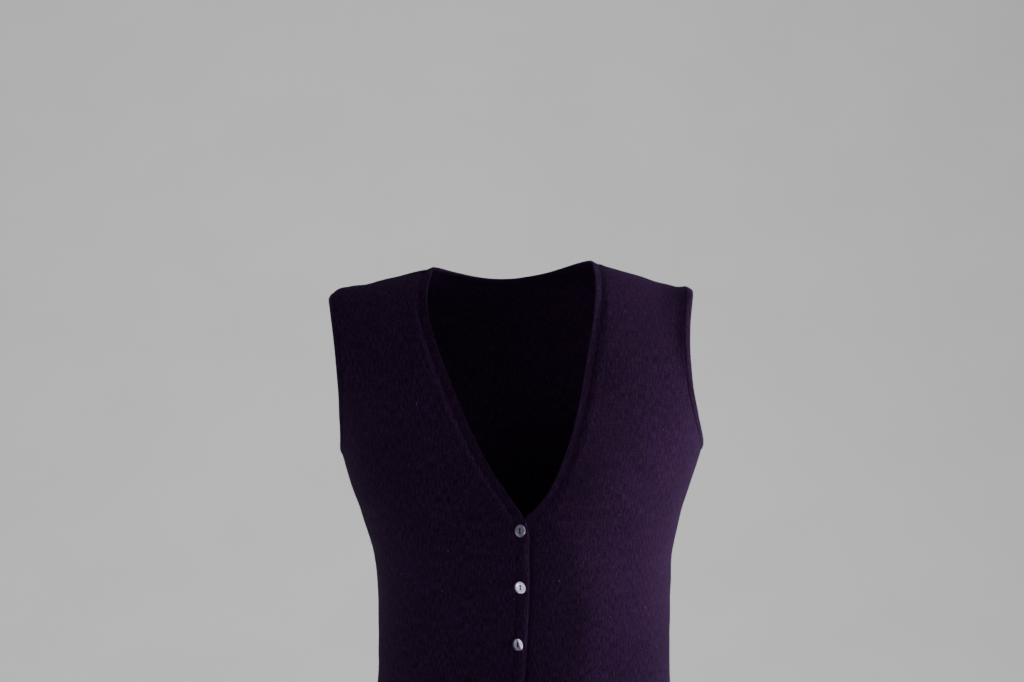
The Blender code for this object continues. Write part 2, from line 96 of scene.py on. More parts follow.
EDGE_COLUMNS = ("drop", "right", "left")
FRONT_EDGES = (
    (-5, 77, 79.5),
    (3, 80, 79.8),
    (12, 84.5, 79.5),
    (25, 86.8, 77.8),
    (45, 85, 74.3),
    (70, 77.5, 68.3),
    (100, 66.5, 62.2),
    (132, 53.3, 54.7),
    (165, 38, 44.6),
    (190, 23.5, 34.2),
    (208, 11, 23.8),
    (220, 3, 13),
    (228, -2, 3.5),
    (238, -6, -4),
    (248, -7.8, -6),
    (262, -8.3, -6),
    (565, -8.3, -6),
)
DRIFT_COLUMNS = ("drop", "drift")
PLACKET_DRIFT = (
    (200, 0),
    (235, 0),
    (265, -1),
    (300, -1.4),
    (345, -3),
    (395, -5.2),
    (440, -6),
    (565, -6),
)

ARMHOLE_COLUMNS = ("side", "shoulder_end", "front_swing", "back_swing")
ARMHOLES = ((RIGHT, 182, 2.5, 8), (LEFT, 182, 18, 18))
UNDERARM_DROP = 180 * MM
UNDERARM_DROPS = (170, 195)

BACK_NECK_DROP = 22 * MM
HEM_DROP = 565 * MM

WALL = 2.0 * MM
SEAM_GAP = 0.3 * MM
HEM_DEPTH = 18 * MM
HEM_STEP = 2 * MM
HEM_EXTRA = 0.8 * MM
HEM_ROUND = 1.4 * MM  # height over which the folded hem rounds off
HEM_FOLD_LEAST = 0.06  # the fold's share of the wall at its very edge, before a square root
HEM_ROWS = (0, 0.12, 0.4, 0.8, 1.4, 3, 6, 10, 14)  # millimetres above the edge
BAND_THICK = 3.0 * MM
BAND_UNDER = 0.4 * MM
BAND_CROWN = 0.3 * MM
# Powers of a band's rounded section, at its edge round the neck, at its other free edges and at
# its seam: 1 is half an ellipse, 0 half a box
NECK_EDGE_CORNER = 0.4
FREE_EDGE_CORNER = 1.0
SEAM_CORNER = 0.25
BAND_POINTS = 28
NECKBAND_WIDTH = 7.5 * MM  # a millimetre less than the solid's, because the panels roll over it
PLACKET_WIDTH = 11.6 * MM
BAND_WIDENS_DROPS = (205, 260)
ARMBAND_WIDTH = 8.0 * MM
BAND_TOP = BAND_THICK - BAND_UNDER + BAND_CROWN

LAP_LIFT = 3.4 * MM
LAP_FLAT = 9 * MM
LAP_FALL = 38 * MM
LAP_TOP_DROPS = (178, 224)

RIDGE_HEIGHT = 1.5 * MM
RIDGE_AWAY = 21
RIDGE_HALF_WIDTH = 9
RIDGE_MIDDLE_DROP = 105
RIDGE_HALF_LENGTH = 62

# Folds and smaller creases, as soft hills or hollows, in millimetres and degrees
FOLD_COLUMNS = ("across", "drop", "height", "half_width", "half_length", "lean")
FOLDS = {
    "front_right": (
        (-16, 226, -1.4, 7, 13, 35),
        (-104, 52, -0.9, 12, 34, 0),
        (-96, 335, -1.6, 22, 58, 10),
        (-52, 400, 1.3, 20, 62, -6),
        (-24, 212, 0.5, 4, 16, 40),
        (-17, 262, -0.35, 3.5, 11, 70),
        (-16, 281, 0.3, 4, 13, 82),
        (-18, 318, -0.4, 4, 14, 100),
        (-17, 345, 0.35, 4, 12, 75),
        (-140, 118, -0.5, 7, 30, -8),
        (-152, 165, 0.45, 6, 18, 25),
        (-126, 205, -0.5, 8, 30, 38),
        (-112, 228, 0.45, 8, 32, 46),
        (-60, 310, -0.5, 12, 60, 8),
        (-30, 452, -0.5, 9, 48, -4),
        (-118, 470, 0.6, 12, 46, 6),
    ),
    "front_left": (
        (18, 236, -1.1, 7, 15, -30),
        (112, 330, -1.4, 22, 55, -12),
        (60, 395, 1.2, 22, 60, 5),
        (21, 255, 0.4, 5, 14, -50),
        (24, 300, -0.35, 5, 15, -78),
        (134, 112, -0.45, 7, 32, 6),
        (146, 160, 0.4, 6, 20, -22),
        (122, 200, -0.55, 9, 30, -36),
        (106, 224, 0.45, 9, 34, -48),
        (82, 62, -0.4, 6, 26, 12),
        (44, 330, -0.45, 12, 56, -6),
        (128, 455, 0.6, 12, 50, -4),
    ),
    "back": (
        (6, 235, -3.0, 24, 100, 0),
        (-46, 338, 2.1, 62, 12, 7),
        (48, 356, 1.8, 56, 11, -6),
        (4, 386, 1.5, 70, 11, 2),
        (-104, 150, 1.1, 15, 46, 20),
        (112, 150, 1.1, 15, 46, -20),
        (-70, 322, -0.6, 40, 6, 12),
        (66, 338, -0.6, 38, 6, -9),
        (-20, 372, -0.5, 44, 6, 3),
        (-128, 196, -0.5, 8, 30, 40),
        (132, 200, -0.5, 8, 30, -40),
        (30, 60, 0.5, 30, 8, 4),
        (-90, 470, 0.6, 12, 50, 5),
        (84, 478, 0.6, 12, 50, -5),
    ),
}
# The unevenness of worn knitwear, as waves over the whole surface
WAVE_COLUMNS = ("length", "direction", "phase", "height")
WAVES = (
    (61, 20, 0.4, 0.11),
    (43, 105, 1.9, 0.09),
    (29, 62, 3.1, 0.06),
    (21, 148, 4.4, 0.045),
    (17, 5, 2.2, 0.035),
)

# Buttons, in millimetres and degrees: the face leans by tilt towards a direction, 0 for +X, 90 up
BUTTON_COLUMNS = ("drop", "across", "tilt", "towards")
BUTTONS = (
    (239.5, -0.9, 42, 167),
    (294.2, -1.9, 50, 48),
    (353.6, -3.6, 52, 42),
    (410.6, -4.7, 38, 24),
    (467.8, -4.9, 34, 160),
    (524.6, -4.9, 36, 30),
)
BUTTON_RADIUS = 6.25 * MM
BUTTON_SIDES = 24
BACK_RINGS = (0.5, 0.6, 0.7, 0.8, 0.9, 1)
# A button's outline from the middle of its back to the middle of its dish, in millimetres
OUTLINE_COLUMNS = ("radius", "height")
BUTTON_OUTLINE = (
    (0, 0),
    (3, 0),
    (5.2, 0.02),
    (5.75, 0.14),
    (6.1, 0.45),
    (6.25, 0.95),
    (6.25, 1.45),
    (6.12, 1.9),
    (5.85, 2.22),
    (5.5, 2.38),
    (5.1, 2.4),
    (4.75, 2.33),
    (4.4, 2.12),
    (4.1, 1.94),
    (3.7, 1.86),
    (2.5, 1.85),
    (0, 1.85),
)
OUTLINE_STEPS = 3  # rings between two rows of the outline
DISH_FLOOR = 1.85 * MM
# How brightly each button is painted on either side of a boundary, which lies this share of the
# radius from the middle, towards a direction in degrees, 0 for right and 90 up: partly the nacre's
# own grey and bright layers, partly painted highlight where a face turns to the light and painted
# shade where it turns away
GLEAM_COLUMNS = ("near", "far", "boundary", "towards")
PAINTED_GLEAMS_AND_NACRE = (
    (0.29, 0.85, 0.62, 225),
    (0.86, 1.0, -0.3, 30),
    (0.0, 1.0, 0.34, 24),
    (0.35, 0.9, -0.2, 200),
    (0.55, 0.85, 0.1, 95),
    (0.15, 0.8, 0.0, 320),
)
POLISHED_SIZE = (0.965, 0.965, 0.87)  # polishing has taken this much off the solid's size
GLEAM_BLEND = 0.06  # half the boundary's width, as a share of the radius
FINE_BUTTON_SIDES = 60
HOLE_RADIUS = 1.15 * MM
HOLE_SPACING = 3.3 * MM
HOLE_SIDES = 24
HOLE_FLARE = 0.12 * MM
# A hole from below the button to above it: heights in millimetres, and shares of the flare
HOLE_COLUMNS = ("height", "flare")
HOLE_OUTLINE = ((-1, 1), (-0.1, 1), (0.25, 0), (1.6, 0), (1.78, 0.45), (3, 2.4))
THREAD_RADIUS = 0.22 * MM
THREAD_STRANDS = (-0.2 * MM, 0.2 * MM)
STRAND_POINTS = 17
STRAND_RISE = 1.25  # over the dish's floor, in thread radii
STRAND_BEND = 0.72  # share of the way out where a strand turns down into its hole
STRAND_FALL = 4.2 * MM
STRAND_SHIFT = 0.05 * MM
PLUG_RADIUS = 1.04 * MM  # the thread that fills each hole, and how high it comes
PLUG_TOP = 1.42 * MM
PLUG_FOOT = 0.2 * MM
SHANK_RADIUS = 0.95 * MM
SHANK_START = 0.5 * MM
SHANK_REACH = 1.15  # share of the way from the button's back to the cloth
SHANK_WRAPS = 11
SHANK_POINTS = 19
SHANK_WOUND = 0.12  # how much thicker its wraps make it
BUTTON_CREASE = math.radians(38)  # sharper edges than this aren't smoothed

# Grid sizes
PANEL_COLUMNS = 84
END_EASE = 0.14  # draws a row's columns towards its two ends
NECK_COLUMNS = 48
ARMHOLE_STEPS = 52
PLACKET_ROWS = 86
APEX_ROWS = 28
APEX_DROP = 262 * MM
SETTLE_ROUNDS = 4
LEVEL_ROUNDS = 6

# Seams: the cloth dips into them, and a chain of stitches lies in the dip
SEAM_DIP = 0.4 * MM
SEAM_DIP_WIDTH = 1.3 * MM
DIP_SHARES = {"neck": 0.2, "placket": 0.5, "armhole": 0.1, "side": 1, "shoulder": 0.5}
THINNEST = 0.35 * MM
CHAIN_RADIUS = 0.36 * MM
CHAIN_SWELL = 0.1 * MM
CHAIN_DEPTH = 1.25 * MM  # the chain's middle, above the form
SOFT_LIFT = 0.35 * MM  # how much higher it lies round the armholes and over the shoulders
CHAIN_STITCH = 2.3 * MM
CHAIN_STEP = 0.56 * MM
CHAIN_SIDES = 8
CHAIN_SINK = 0.75  # how much of the neck valley's depth the chain lies down in it
# The neck's seam lies in a soft valley: the panels roll down into it, the bands thin towards it
VALLEY_DEPTH = 1.55 * MM
VALLEY_WIDTHS = {RIGHT: 3.0 * MM, LEFT: 4.2 * MM}
ROLL_HEIGHTS = {RIGHT: 1.6 * MM, LEFT: 0.6 * MM}  # the panels stand high beside that valley
ROLL_AWAY = 5.3 * MM
ROLL_START = 45 * MM  # it has its full height this far below the shoulder line
ROLL_HALF_WIDTH = 4.5 * MM
# The left front is pressed down beside the lap, and rises out of that hollow
HOLLOW_DEPTH = 1.3 * MM
HOLLOW_FLAT = 2.6 * MM
HOLLOW_RISE = 6.0 * MM
HOLLOW_TOP_DROPS = (222, 250)
# The armholes' edges flare a little, most of all this far below the shoulders
FLARES = {RIGHT: 0.4 * MM, LEFT: 2.2 * MM}
FLARE_WIDTH = 4.8 * MM
FLARE_MIDDLE_DROP = 50
FLARE_HALF_LENGTH = 48
FLARE_AT_EDGE = 0.3  # share of an armband's lift at its free edge

# Nap: short fibres that stand out of the cloth, and how many on each panel
FIBRES = {"front_right": 33000, "front_left": 33000, "back": 38000}
FIBRE_LENGTHS = (0.8 * MM, 2.6 * MM)
FIBRE_WIDTHS = (0.04 * MM, 0.09 * MM)
FIBRE_LEANS = (8, 62)  # degrees up from the cloth
FIBRE_ROOT = 0.15 * MM
FIBRE_DROOP = 0.5  # how far the fibres' random ways are drawn downwards

# Lint on the fronts, in millimetres and degrees
LINT_COLUMNS = ("across", "drop", "size", "turn")
LINT = (
    (36.8, 291.9, 1.0, 20),
    (126.4, 332, 0.9, 70),
    (88.9, 334.1, 0.6, 130),
    (139.2, 377.8, 0.7, 10),
    (-69.6, 262.3, 1.1, 82),
    (-75.3, 304.5, 0.8, 60),
    (-113.4, 294.2, 0.7, 35),
    (-98.5, 121, 1.5, 96),
    (-6.9, 307.6, 0.9, 80),
    (-57, 346, 0.6, 110),
    (141, 151, 0.6, 45),
    (96, 230, 0.5, 15),
)
LINT_POINTS = 9
LINT_THICK = 0.16 * MM
LINT_CURL = (0.45, 2.4)  # how far a fibre curls aside, and how often
LINT_SEED = 900
PLACKET_REACH = 8  # lint nearer to the middle than this lies on the placket

# Each band's seam and nap by name, where its knitting starts in millimetres, and its fibres
BAND_COLUMNS = ("label", "shift", "fibres", "seed")
BANDS = {
    "armband_right": ("armband_right", -500, 4000, 39),
    "armband_left": ("armband_left", 500, 4000, 41),
    "band_right": ("band_right", -700, 8000, 49),
    "band_left": ("band_left", 700, 8000, 51),
    "band_back_neck": ("back_neck", 300, 2000, 55),
}
BACK_SHIFT = 1500  # where the back's knitting starts
PANEL_SEEDS = {"front_right": 59, "front_left": 61, "back": 70}

# Knit sizes: columns and rows of stitches, in millimetres
BODY_GAUGE = (1.7, 1.25)
BAND_GAUGE = (1.45, 1.2)
# Grain of the yarn, in millimetres along the rows, up the columns and in depth
WANDER = (7, 9, 50)
STREAKS = (1.3, 8.0, 40)
GRAIN = (0.75, 1.1, 27)
HUES = (1.5, 2.4, 31)
FLECKS = (0.5, 1.3, 23)
PATCHES = (38, 52, 60)
FUZZ = (0.5, 0.9, 19)
# Grain of the mother-of-pearl, in metres
SWIRLS = (0.0042, 0.0031, 0.0036)
LAYERS = (0.0026, 0.0011, 0.0008)


def read(table, columns, name, at):
    """A table's column at places along its first one, on a smooth curve through its rows."""
    rows = np.array(table, float)
    along, value = rows[:, 0], rows[:, columns.index(name)]
    slope = np.gradient(value, along)
    at = np.clip(at, along[0], along[-1])
    i = np.clip(np.searchsorted(along, at) - 1, 0, len(along) - 2)
    step = along[i + 1] - along[i]
    t = (at - along[i]) / step
    near = (1 + 2 * t) * (1 - t) ** 2 * value[i] + t * (1 - t) ** 2 * step * slope[i]
    far = t**2 * (3 - 2 * t) * value[i + 1] - t**2 * (1 - t) * step * slope[i + 1]
    return near + far


def smooth(t):
    """Rises softly from 0 to 1 as t does."""
    t = np.clip(t, 0, 1)
    return t * t * (3 - 2 * t)


def mix(a, b, share):
    return a + (b - a) * share


def section(name, z):
    return read(SECTIONS, SECTION_COLUMNS, name, -z / MM) * MM


def shoulder_height(x):
    return read(SHOULDERS, SHOULDER_COLUMNS, "height", x / MM) * MM


def rounding(x, z):
    """1 on the body and 0 on the shoulder line, along a quarter circle between them."""
    t = np.minimum((shoulder_height(x) - z) / SHOULDER_ROUND, 1)
    return t * (2 - t)


def share_across(x, z):
    """0 at a section's middle, -1 at its right side and 1 at its left."""
    return (x - section("centre", z)) / section("half_width", z)


def fullness(x, z):
    """1 at a section's middle and 0 at its sides."""
    across = share_across(x, z) ** 2
    return 1 - (1 - SQUARENESS) * across - SQUARENESS * across**2


def body(x, z, face):
    """Points of the form at x and z, on its front or back."""
    depth = section("front" if face == FRONT else "back", z)
    y = face * depth * np.sqrt(np.maximum(rounding(x, z) * fullness(x, z), 0))
    return np.stack(np.broadcast_arrays(x, y, z), axis=-1)


def field(points):
    """Below 0 inside the form, 0 on it and above 0 outside."""
    x, y, z = points[..., 0], points[..., 1], points[..., 2]
    depth = np.where(y < 0, section("front", z), section("back", z))
    return (y / depth) ** 2 - rounding(x, z) * fullness(x, z)


def slope_of_field(points):
    step = 0.01 * MM
    sides = np.eye(3) * step
    parts = [(field(points + side) - field(points - side)) / (2 * step) for side in sides]
    return np.stack(parts, axis=-1)


def unit(vectors):
    return vectors / np.linalg.norm(vectors, axis=-1, keepdims=True)


def outward(points):
    return unit(slope_of_field(points))


def settle(points):
    """Moves points that are near the form onto it."""
    for _ in range(SETTLE_ROUNDS):
        slope = slope_of_field(points)
        share = field(points) / np.sum(slope**2, axis=-1)
        points = points - share[..., None] * slope
    return points


def placket_drift(z):
    return read(PLACKET_DRIFT, DRIFT_COLUMNS, "drift", -z / MM) * MM


def free_edge(side, z):
    """Where a front's free edge lies across the body."""
    name = "right" if side == RIGHT else "left"
    return side * read(FRONT_EDGES, EDGE_COLUMNS, name, -z / MM) * MM + placket_drift(z)


def fall(z, drops):
    """0 above the first of two drops and 1 below the second, and softly from one to the other."""
    high, low = drops
    return smooth((-z / MM - high) / (low - high))


def lap(x, z):
    """How far the right front is lifted to lap over the left one."""
    away = -(x - placket_drift(z)) - LAP_FLAT
    return LAP_LIFT * fall(z, LAP_TOP_DROPS) * (1 - smooth(away / LAP_FALL))


def neck_ridge(x, z):
    """The soft ridge beside the right neckband."""
    away = (free_edge(RIGHT, z) - x) / MM
    along = (-z / MM - RIDGE_MIDDLE_DROP) / RIDGE_HALF_LENGTH
    return RIDGE_HEIGHT * np.exp(-(((away - RIDGE_AWAY) / RIDGE_HALF_WIDTH) ** 2) - along**4)


def waves(points):
    """The slight unevenness of the whole surface."""
    x, z = points[..., 0] / MM, points[..., 2] / MM
    total = np.zeros(x.shape)
    for row in WAVES:
        wave = dict(zip(WAVE_COLUMNS, row))
        way = math.radians(wave["direction"])
        along = (x * math.cos(way) + z * math.sin(way)) / wave["length"]
        total = total + wave["height"] * MM * np.sin(2 * math.pi * along + wave["phase"])
    return total


def relief(piece, points):
    """How far a piece's cloth stands off the form: its folds, and the lap of the right front."""
    x, z = points[..., 0], points[..., 2]
    total = waves(points)
    for row in FOLDS[piece]:
        fold = dict(zip(FOLD_COLUMNS, row))
        lean = math.radians(fold["lean"])
        aside, down = x / MM - fold["across"], -z / MM - fold["drop"]
        u = (aside * math.cos(lean) + down * math.sin(lean)) / fold["half_width"]
        v = (down * math.cos(lean) - aside * math.sin(lean)) / fold["half_length"]
        total = total + fold["height"] * MM * np.exp(-(u**2) - v**2)
    if piece == "front_right":
        total = total + lap(x, z) + neck_ridge(x, z)
    return total


def band_width(z):
    """A front's band is wide on the placket and narrow round the neck."""
    return mix(NECKBAND_WIDTH, PLACKET_WIDTH, fall(z, BAND_WIDENS_DROPS))


def valley(z):
    """How deep the neck's seam lies, which the plackets' seams don't."""
    return VALLEY_DEPTH * (1 - fall(z, BAND_WIDENS_DROPS))


def hollow(away, z):
    """How far the left front is pressed down beside the lap, at places away from its band."""
    down = fall(z, HOLLOW_TOP_DROPS)
    return HOLLOW_DEPTH * down * (1 - smooth((away - HOLLOW_FLAT) / HOLLOW_RISE))


def flare(side, z):
    """How far an armhole's edge stands away from the body."""
    along = (-z / MM - FLARE_MIDDLE_DROP) / FLARE_HALF_LENGTH
    return FLARES[side] * np.exp(-(along**4))


def band_section(width, sink, lift):
    """A doubled band's rounded section: across from its free edge, and up from the form. At the
    seam it is thinner by sink, and it is lifted by lift there."""
    turn = np.linspace(0, 2 * math.pi, BAND_POINTS, endpoint=False)
    free_corner = mix(FREE_EDGE_CORNER, NECK_EDGE_CORNER, sink / VALLEY_DEPTH)
    corner = np.where(np.cos(turn) < 0, free_corner, SEAM_CORNER)
    aside = np.sign(np.cos(turn)) * np.abs(np.cos(turn)) ** corner
    rise = np.sign(np.sin(turn)) * np.abs(np.sin(turn)) ** corner
    to_seam = (1 + aside) / 2
    up = -BAND_UNDER + BAND_THICK * (1 + rise) / 2
    crown = BAND_CROWN * (1 - aside**2) * (1 - sink / VALLEY_DEPTH)
    up = up + np.where(rise > 0, crown, 0)
    up = up - sink * (1 - (1 - to_seam) ** 2) * np.maximum(rise, 0)
    up = up + lift * mix(FLARE_AT_EDGE, 1, smooth(to_seam))
    return width * to_seam, up


def band_rows(piece, edge, inwards, widths, sinks, lifts):
    """A band's section at each point of its free edge. Inwards points to the panel."""
    rows = []
    for point, way, width, sink, lift in zip(edge, inwards, widths, sinks, lifts):
        across, up = band_section(width, sink, lift)
        base = settle(point + np.outer(across, way))
        height = up + relief(piece, base)
        rows.append(base + outward(base) * height[:, None])
    return np.array(rows)


def seam_line(edge, inwards, widths, share=1):
    """Where the panel begins, a seam's gap beyond the band, or a share of that gap."""
    return settle(edge + inwards * (np.asarray(widths) + share * SEAM_GAP)[:, None])


def lengths(grid, axis=0):
    """How far each point lies from the first one along a path or a grid's axis."""
    steps = np.linalg.norm(np.diff(grid, axis=axis), axis=-1)
    return np.insert(np.cumsum(steps, axis=axis), 0, 0, axis=axis)


def tangents(path, closed=False):
    if closed:
        return unit(np.roll(path, -1, axis=0) - np.roll(path, 1, axis=0))
    return unit(np.gradient(path, lengths(path), axis=0))


def armhole_edge(side, face, steps):
    """The armhole's free edge from the shoulder line down to the underarm."""
    row = next(dict(zip(ARMHOLE_COLUMNS, r)) for r in ARMHOLES if r[0] == side)
    turn = np.linspace(0, math.pi, steps + 1)
    share = (1 - np.cos(turn)) / 2
    top_x = side * row["shoulder_end"] * MM
    top_z = shoulder_height(top_x)
    low_z = -UNDERARM_DROP
    low_x = section("centre", low_z) + side * section("half_width", low_z)
    swing = row["front_swing" if face == FRONT else "back_swing"] * MM
    z = top_z + (low_z - top_z) * share
    x = top_x + (low_x - top_x) * share - side * swing * np.sin(turn) ** 2 * (1 - share / 2)
    edge = body(x, z, face)
    edge[[0, -1], 1] = 0
    return edge


def armhole(side):
    """The closed free edge round an armhole, and the way from it into the cloth."""
    front = armhole_edge(side, FRONT, ARMHOLE_STEPS)
    back = armhole_edge(side, BACK, ARMHOLE_STEPS)[::-1]
    edge = np.concatenate([front, back[1:-1]])
    along = tangents(edge, True)
    along[0], along[ARMHOLE_STEPS] = (0, -1, 0), (0, 1, 0)
    return edge, unit(-side * np.cross(outward(edge), along))


def front_edge(side, levels, shares):
    """A front's free edge from hem to shoulder line, and the way from it into the panel."""
    top_x = free_edge(side, 0.0)
    top_z = shoulder_height(top_x)
    z = np.concatenate([levels, mix(levels[-1], top_z, shares)])
    edge = body(free_edge(side, z), z, FRONT)
    edge[-1] = (top_x, 0, top_z)
    along = tangents(edge)
    along[-1] = (0, 1, 0)
    return edge, unit(-side * np.cross(outward(edge), along))


def back_neck_edge():
    """The back neck's free edge from the right shoulder line to the left."""
    turn = np.linspace(-math.pi / 2, math.pi / 2, NECK_COLUMNS + 1)
    right_x, left_x = free_edge(RIGHT, 0.0), free_edge(LEFT, 0.0)
    right_z, left_z = shoulder_height(right_x), shoulder_height(left_x)
    share = (1 + np.sin(turn)) / 2
    x = right_x + (left_x - right_x) * share
    z = right_z + (left_z - right_z) * share - BACK_NECK_DROP * np.cos(turn) ** 2
    edge = body(x, z, BACK)
    edge[[0, -1], 1] = 0
    along = tangents(edge)
    along[0], along[-1] = (0, 1, 0), (0, -1, 0)
    return edge, unit(np.cross(outward(edge), along))


def angle_across(points):
    """Where points lie round their section: -90 degrees at the right side, 90 at the left."""
    return np.arcsin(np.clip(share_across(points[..., 0], points[..., 2]), -1, 1))


def across_at(angle, z):
    return section("centre", z) + section("half_width", z) * np.sin(angle)


def levels_below(underarm):
    """The heights of the rows from the hem to the underarm."""
    hem = -HEM_DROP + np.array(HEM_ROWS) * MM
    turned = -HEM_DROP + HEM_DEPTH + np.linspace(0, 1, 5) * HEM_STEP
    placket = np.linspace(turned[-1], -APEX_DROP, PLACKET_ROWS)[1:]
    apex = np.linspace(-APEX_DROP, underarm, APEX_ROWS + 1)[1:]
    return np.concatenate([hem, turned, placket, apex])


def shares_above():
    """The rows' shares of the way from the underarm to the shoulder line, close at the top."""
    turn = np.linspace(math.pi, 0, ARMHOLE_STEPS + 1)[1:]
    low = 0.5 + (turn - math.pi / 2) / math.pi
    return 1 - np.where(turn > math.pi / 2, low, (1 - np.cos(turn)) / 2)


def side_seam(side, levels):
    x = section("centre", levels) + side * section("half_width", levels)
    return body(x, levels, FRONT) * (1, 0, 1)


def panel_row(angles, heights_at, face):
    """One row of points, whose heights depend on where they lie across."""
    z = heights_at(np.zeros(len(angles)))
    for _ in range(LEVEL_ROUNDS):
        z = heights_at(across_at(angles, z))
    return body(across_at(angles, z), z, face)


def front_grid(side, inner, outer, turn_row):
    """A front's rows of points, from its inner edge to its side seam or armhole."""
    even = np.linspace(0, 1, PANEL_COLUMNS + 1)
    share = even - END_EASE * np.sin(2 * math.pi * even)
    underarm = outer[turn_row, 2]

    def below_shoulder(point):
        top = shoulder_height(point[0])
        return (top - point[2]) / (top - underarm)

    grid = []
    for i, (start, end) in enumerate(zip(inner, outer)):
        side_angle = side * math.pi / 2 if i <= turn_row else angle_across(end)
        angles = mix(angle_across(start), side_angle, share)
        if i < turn_row:
            level = mix(start[2], end[2], share)
            row = panel_row(angles, lambda x, level=level: level, FRONT)
        else:
            drop = mix(below_shoulder(start), below_shoulder(end), share)

            def heights(x, drop=drop):
                return mix(shoulder_height(x), underarm, drop)

            row = panel_row(angles, heights, FRONT)
        row[0], row[-1] = start, end
        grid.append(row)
    grid[-1][:, 1] = 0
    return np.array(grid)


def back_grid(top, right, left, turn_row, shares):
    """The back's rows of points, from the right side to the left one."""
    angle = angle_across(top)
    share = (angle - angle[0]) / (angle[-1] - angle[0])
    edge_pull = (2 * share - 1) ** 2
    grid = []
    for i, (start, end) in enumerate(zip(right, left)):
        if i < turn_row:
            angles = mix(-math.pi / 2, math.pi / 2, share)
            level = mix(start[2], end[2], share)
            row = panel_row(angles, lambda x, level=level: level, BACK)
        else:
            angles = mix(angle_across(start), angle_across(end), share)
            floor = mix(right[turn_row, 2], left[turn_row, 2], share)
            middle = 1 - shares[i - turn_row - 1] if i > turn_row else 1.0
            at_right = (top[0, 2] - start[2]) / (top[0, 2] - floor[0])
            at_left = (top[-1, 2] - end[2]) / (top[-1, 2] - floor[-1])
            drop = mix(middle, np.where(share < 0.5, at_right, at_left), edge_pull)
            row = panel_row(angles, lambda x, z=mix(top[:, 2], floor, drop): z, BACK)
        row[0], row[-1] = start, end
        grid.append(row)
    grid[-1] = top
    return np.array(grid)


def seam_dip(grid, starts, ends):
    """How far the cloth dips into its seams, from the shares for each row's start and end."""
    along_row, up = lengths(grid, 1), lengths(grid, 0)

    def near(away):
        return np.exp(-((away / SEAM_DIP_WIDTH) ** 2))

    at_start = starts[:, None] * near(along_row)
    at_end = ends[:, None] * near(along_row[:, -1:] - along_row)
    at_top = DIP_SHARES["shoulder"] * near(up[-1:] - up)
    return SEAM_DIP * np.maximum(np.maximum(at_start, at_end), at_top)


def dips_at(z, name_below, name_above, between):
    """Each row's share of the dip, which changes from one seam to the next between two drops."""
    above = smooth((between[1] + z / MM) / (between[1] - between[0]))
    return mix(DIP_SHARES[name_below], DIP_SHARES[name_above], above)


def away_from(path, points):
    """How far points lie from a path."""
    nearest = np.full(points.shape[:-1], np.inf)
    for start, end in zip(path, path[1:]):
        step = end - start
        share = np.clip((points - start) @ step / (step @ step), 0, 1)
        gap = points - start - share[..., None] * step
        nearest = np.minimum(nearest, np.einsum("...k,...k", gap, gap))
    return np.sqrt(nearest)


def edge_roll(grid, neck_seam, armhole_seam, side):
    """How far the cloth is lowered towards the neck's seam and lifted towards an armhole's."""
    z, from_neck = grid[..., 2], away_from(neck_seam, grid)
    roll = ROLL_HEIGHTS[side] * np.exp(-(((from_neck - ROLL_AWAY) / ROLL_HALF_WIDTH) ** 2))
    roll = roll * smooth((shoulder_height(grid[..., 0]) - z) / ROLL_START)
    low = valley(z) * (np.exp(-from_neck / VALLEY_WIDTHS[side]) - roll / VALLEY_DEPTH)
    if side == LEFT and grid[0, 0, 1] < 0:
        low = low + hollow(lengths(grid, 1), z)
    high = flare(side, z) * np.exp(-((away_from(armhole_seam, grid) / FLARE_WIDTH) ** 2))
    return high - low


def cloth(piece, grid, roll, dip):
    """The inner and outer points of a panel's wall, and the way outwards."""
    ways = outward(grid)
    above = grid[..., 2] + HEM_DROP
    thick = WALL + HEM_EXTRA * (1 - smooth((above - HEM_DEPTH) / HEM_STEP))
    rounded = 1 - (1 - np.minimum(above / HEM_ROUND, 1)) ** 2
    fold = np.sqrt(np.clip(rounded, HEM_FOLD_LEAST, 1))
    low = (relief(piece, grid) + thick * (1 - fold) / 2 + np.maximum(roll, 0))[..., None]
    rest = np.maximum(thick * fold - dip + np.minimum(roll, 0), THINNEST)
    high = low + rest[..., None]
    return grid + ways * low, grid + ways * high, ways


def round_share(share):
    """How far round a section a share of its half width is, in half widths."""
    steps = np.sin(np.linspace(0, math.pi / 2, 400))
    depth = np.sqrt(np.maximum(1 - (1 - SQUARENESS) * steps**2 - SQUARENESS * steps**4, 0))
    lengths_round = np.insert(np.cumsum(np.hypot(np.diff(steps), FLATNESS * np.diff(depth))), 0, 0)
    return np.sign(share) * np.interp(np.abs(share), steps, lengths_round)


def knit_places(grid, shift):
    """Where the stitches lie: along the rows and up the columns, in millimetres of cloth."""
    x, z = grid[..., 0], grid[..., 2]
    along = section("half_width", z) * round_share(share_across(x, z))
    turn = np.clip((shoulder_height(x) - z) / SHOULDER_ROUND, 0, 1)
    up = np.minimum(z, shoulder_height(x) - SHOULDER_ROUND) + SHOULDER_ROUND * np.arcsin(1 - turn)
    return np.stack([along / MM + shift, up / MM, np.ones(x.shape)], axis=-1)


def linked(name, data):
    """A new object in the scene."""
    made = bpy.data.objects.new(name, data)
    bpy.context.scene.collection.objects.link(made)
    return made


def new_object(name, points, faces, material, places=None):
    """A mesh object whose faces look outwards. Places give each point's place in the knitting."""
    data = bpy.data.meshes.new(name)
    points, faces = np.asarray(points), np.asarray(faces)
    corners = points[faces[:, :3]]
    volume = np.sum(np.cross(corners[:, 0], corners[:, 1]) * corners[:, 2])
    if faces.shape[1] == 4:
        rest = points[faces[:, [0, 2, 3]]]
        volume += np.sum(np.cross(rest[:, 0], rest[:, 1]) * rest[:, 2])
    if volume < 0:
        faces = faces[:, ::-1]
    data.from_pydata(points.tolist(), [], faces.tolist())
    data.materials.append(material)
    if places is not None:
        layer = data.attributes.new("knit", "FLOAT_VECTOR", "POINT")
        layer.data.foreach_set("vector", np.asarray(places, np.float32).ravel())
    data.shade_smooth()
    data.update()
    return linked(name, data)


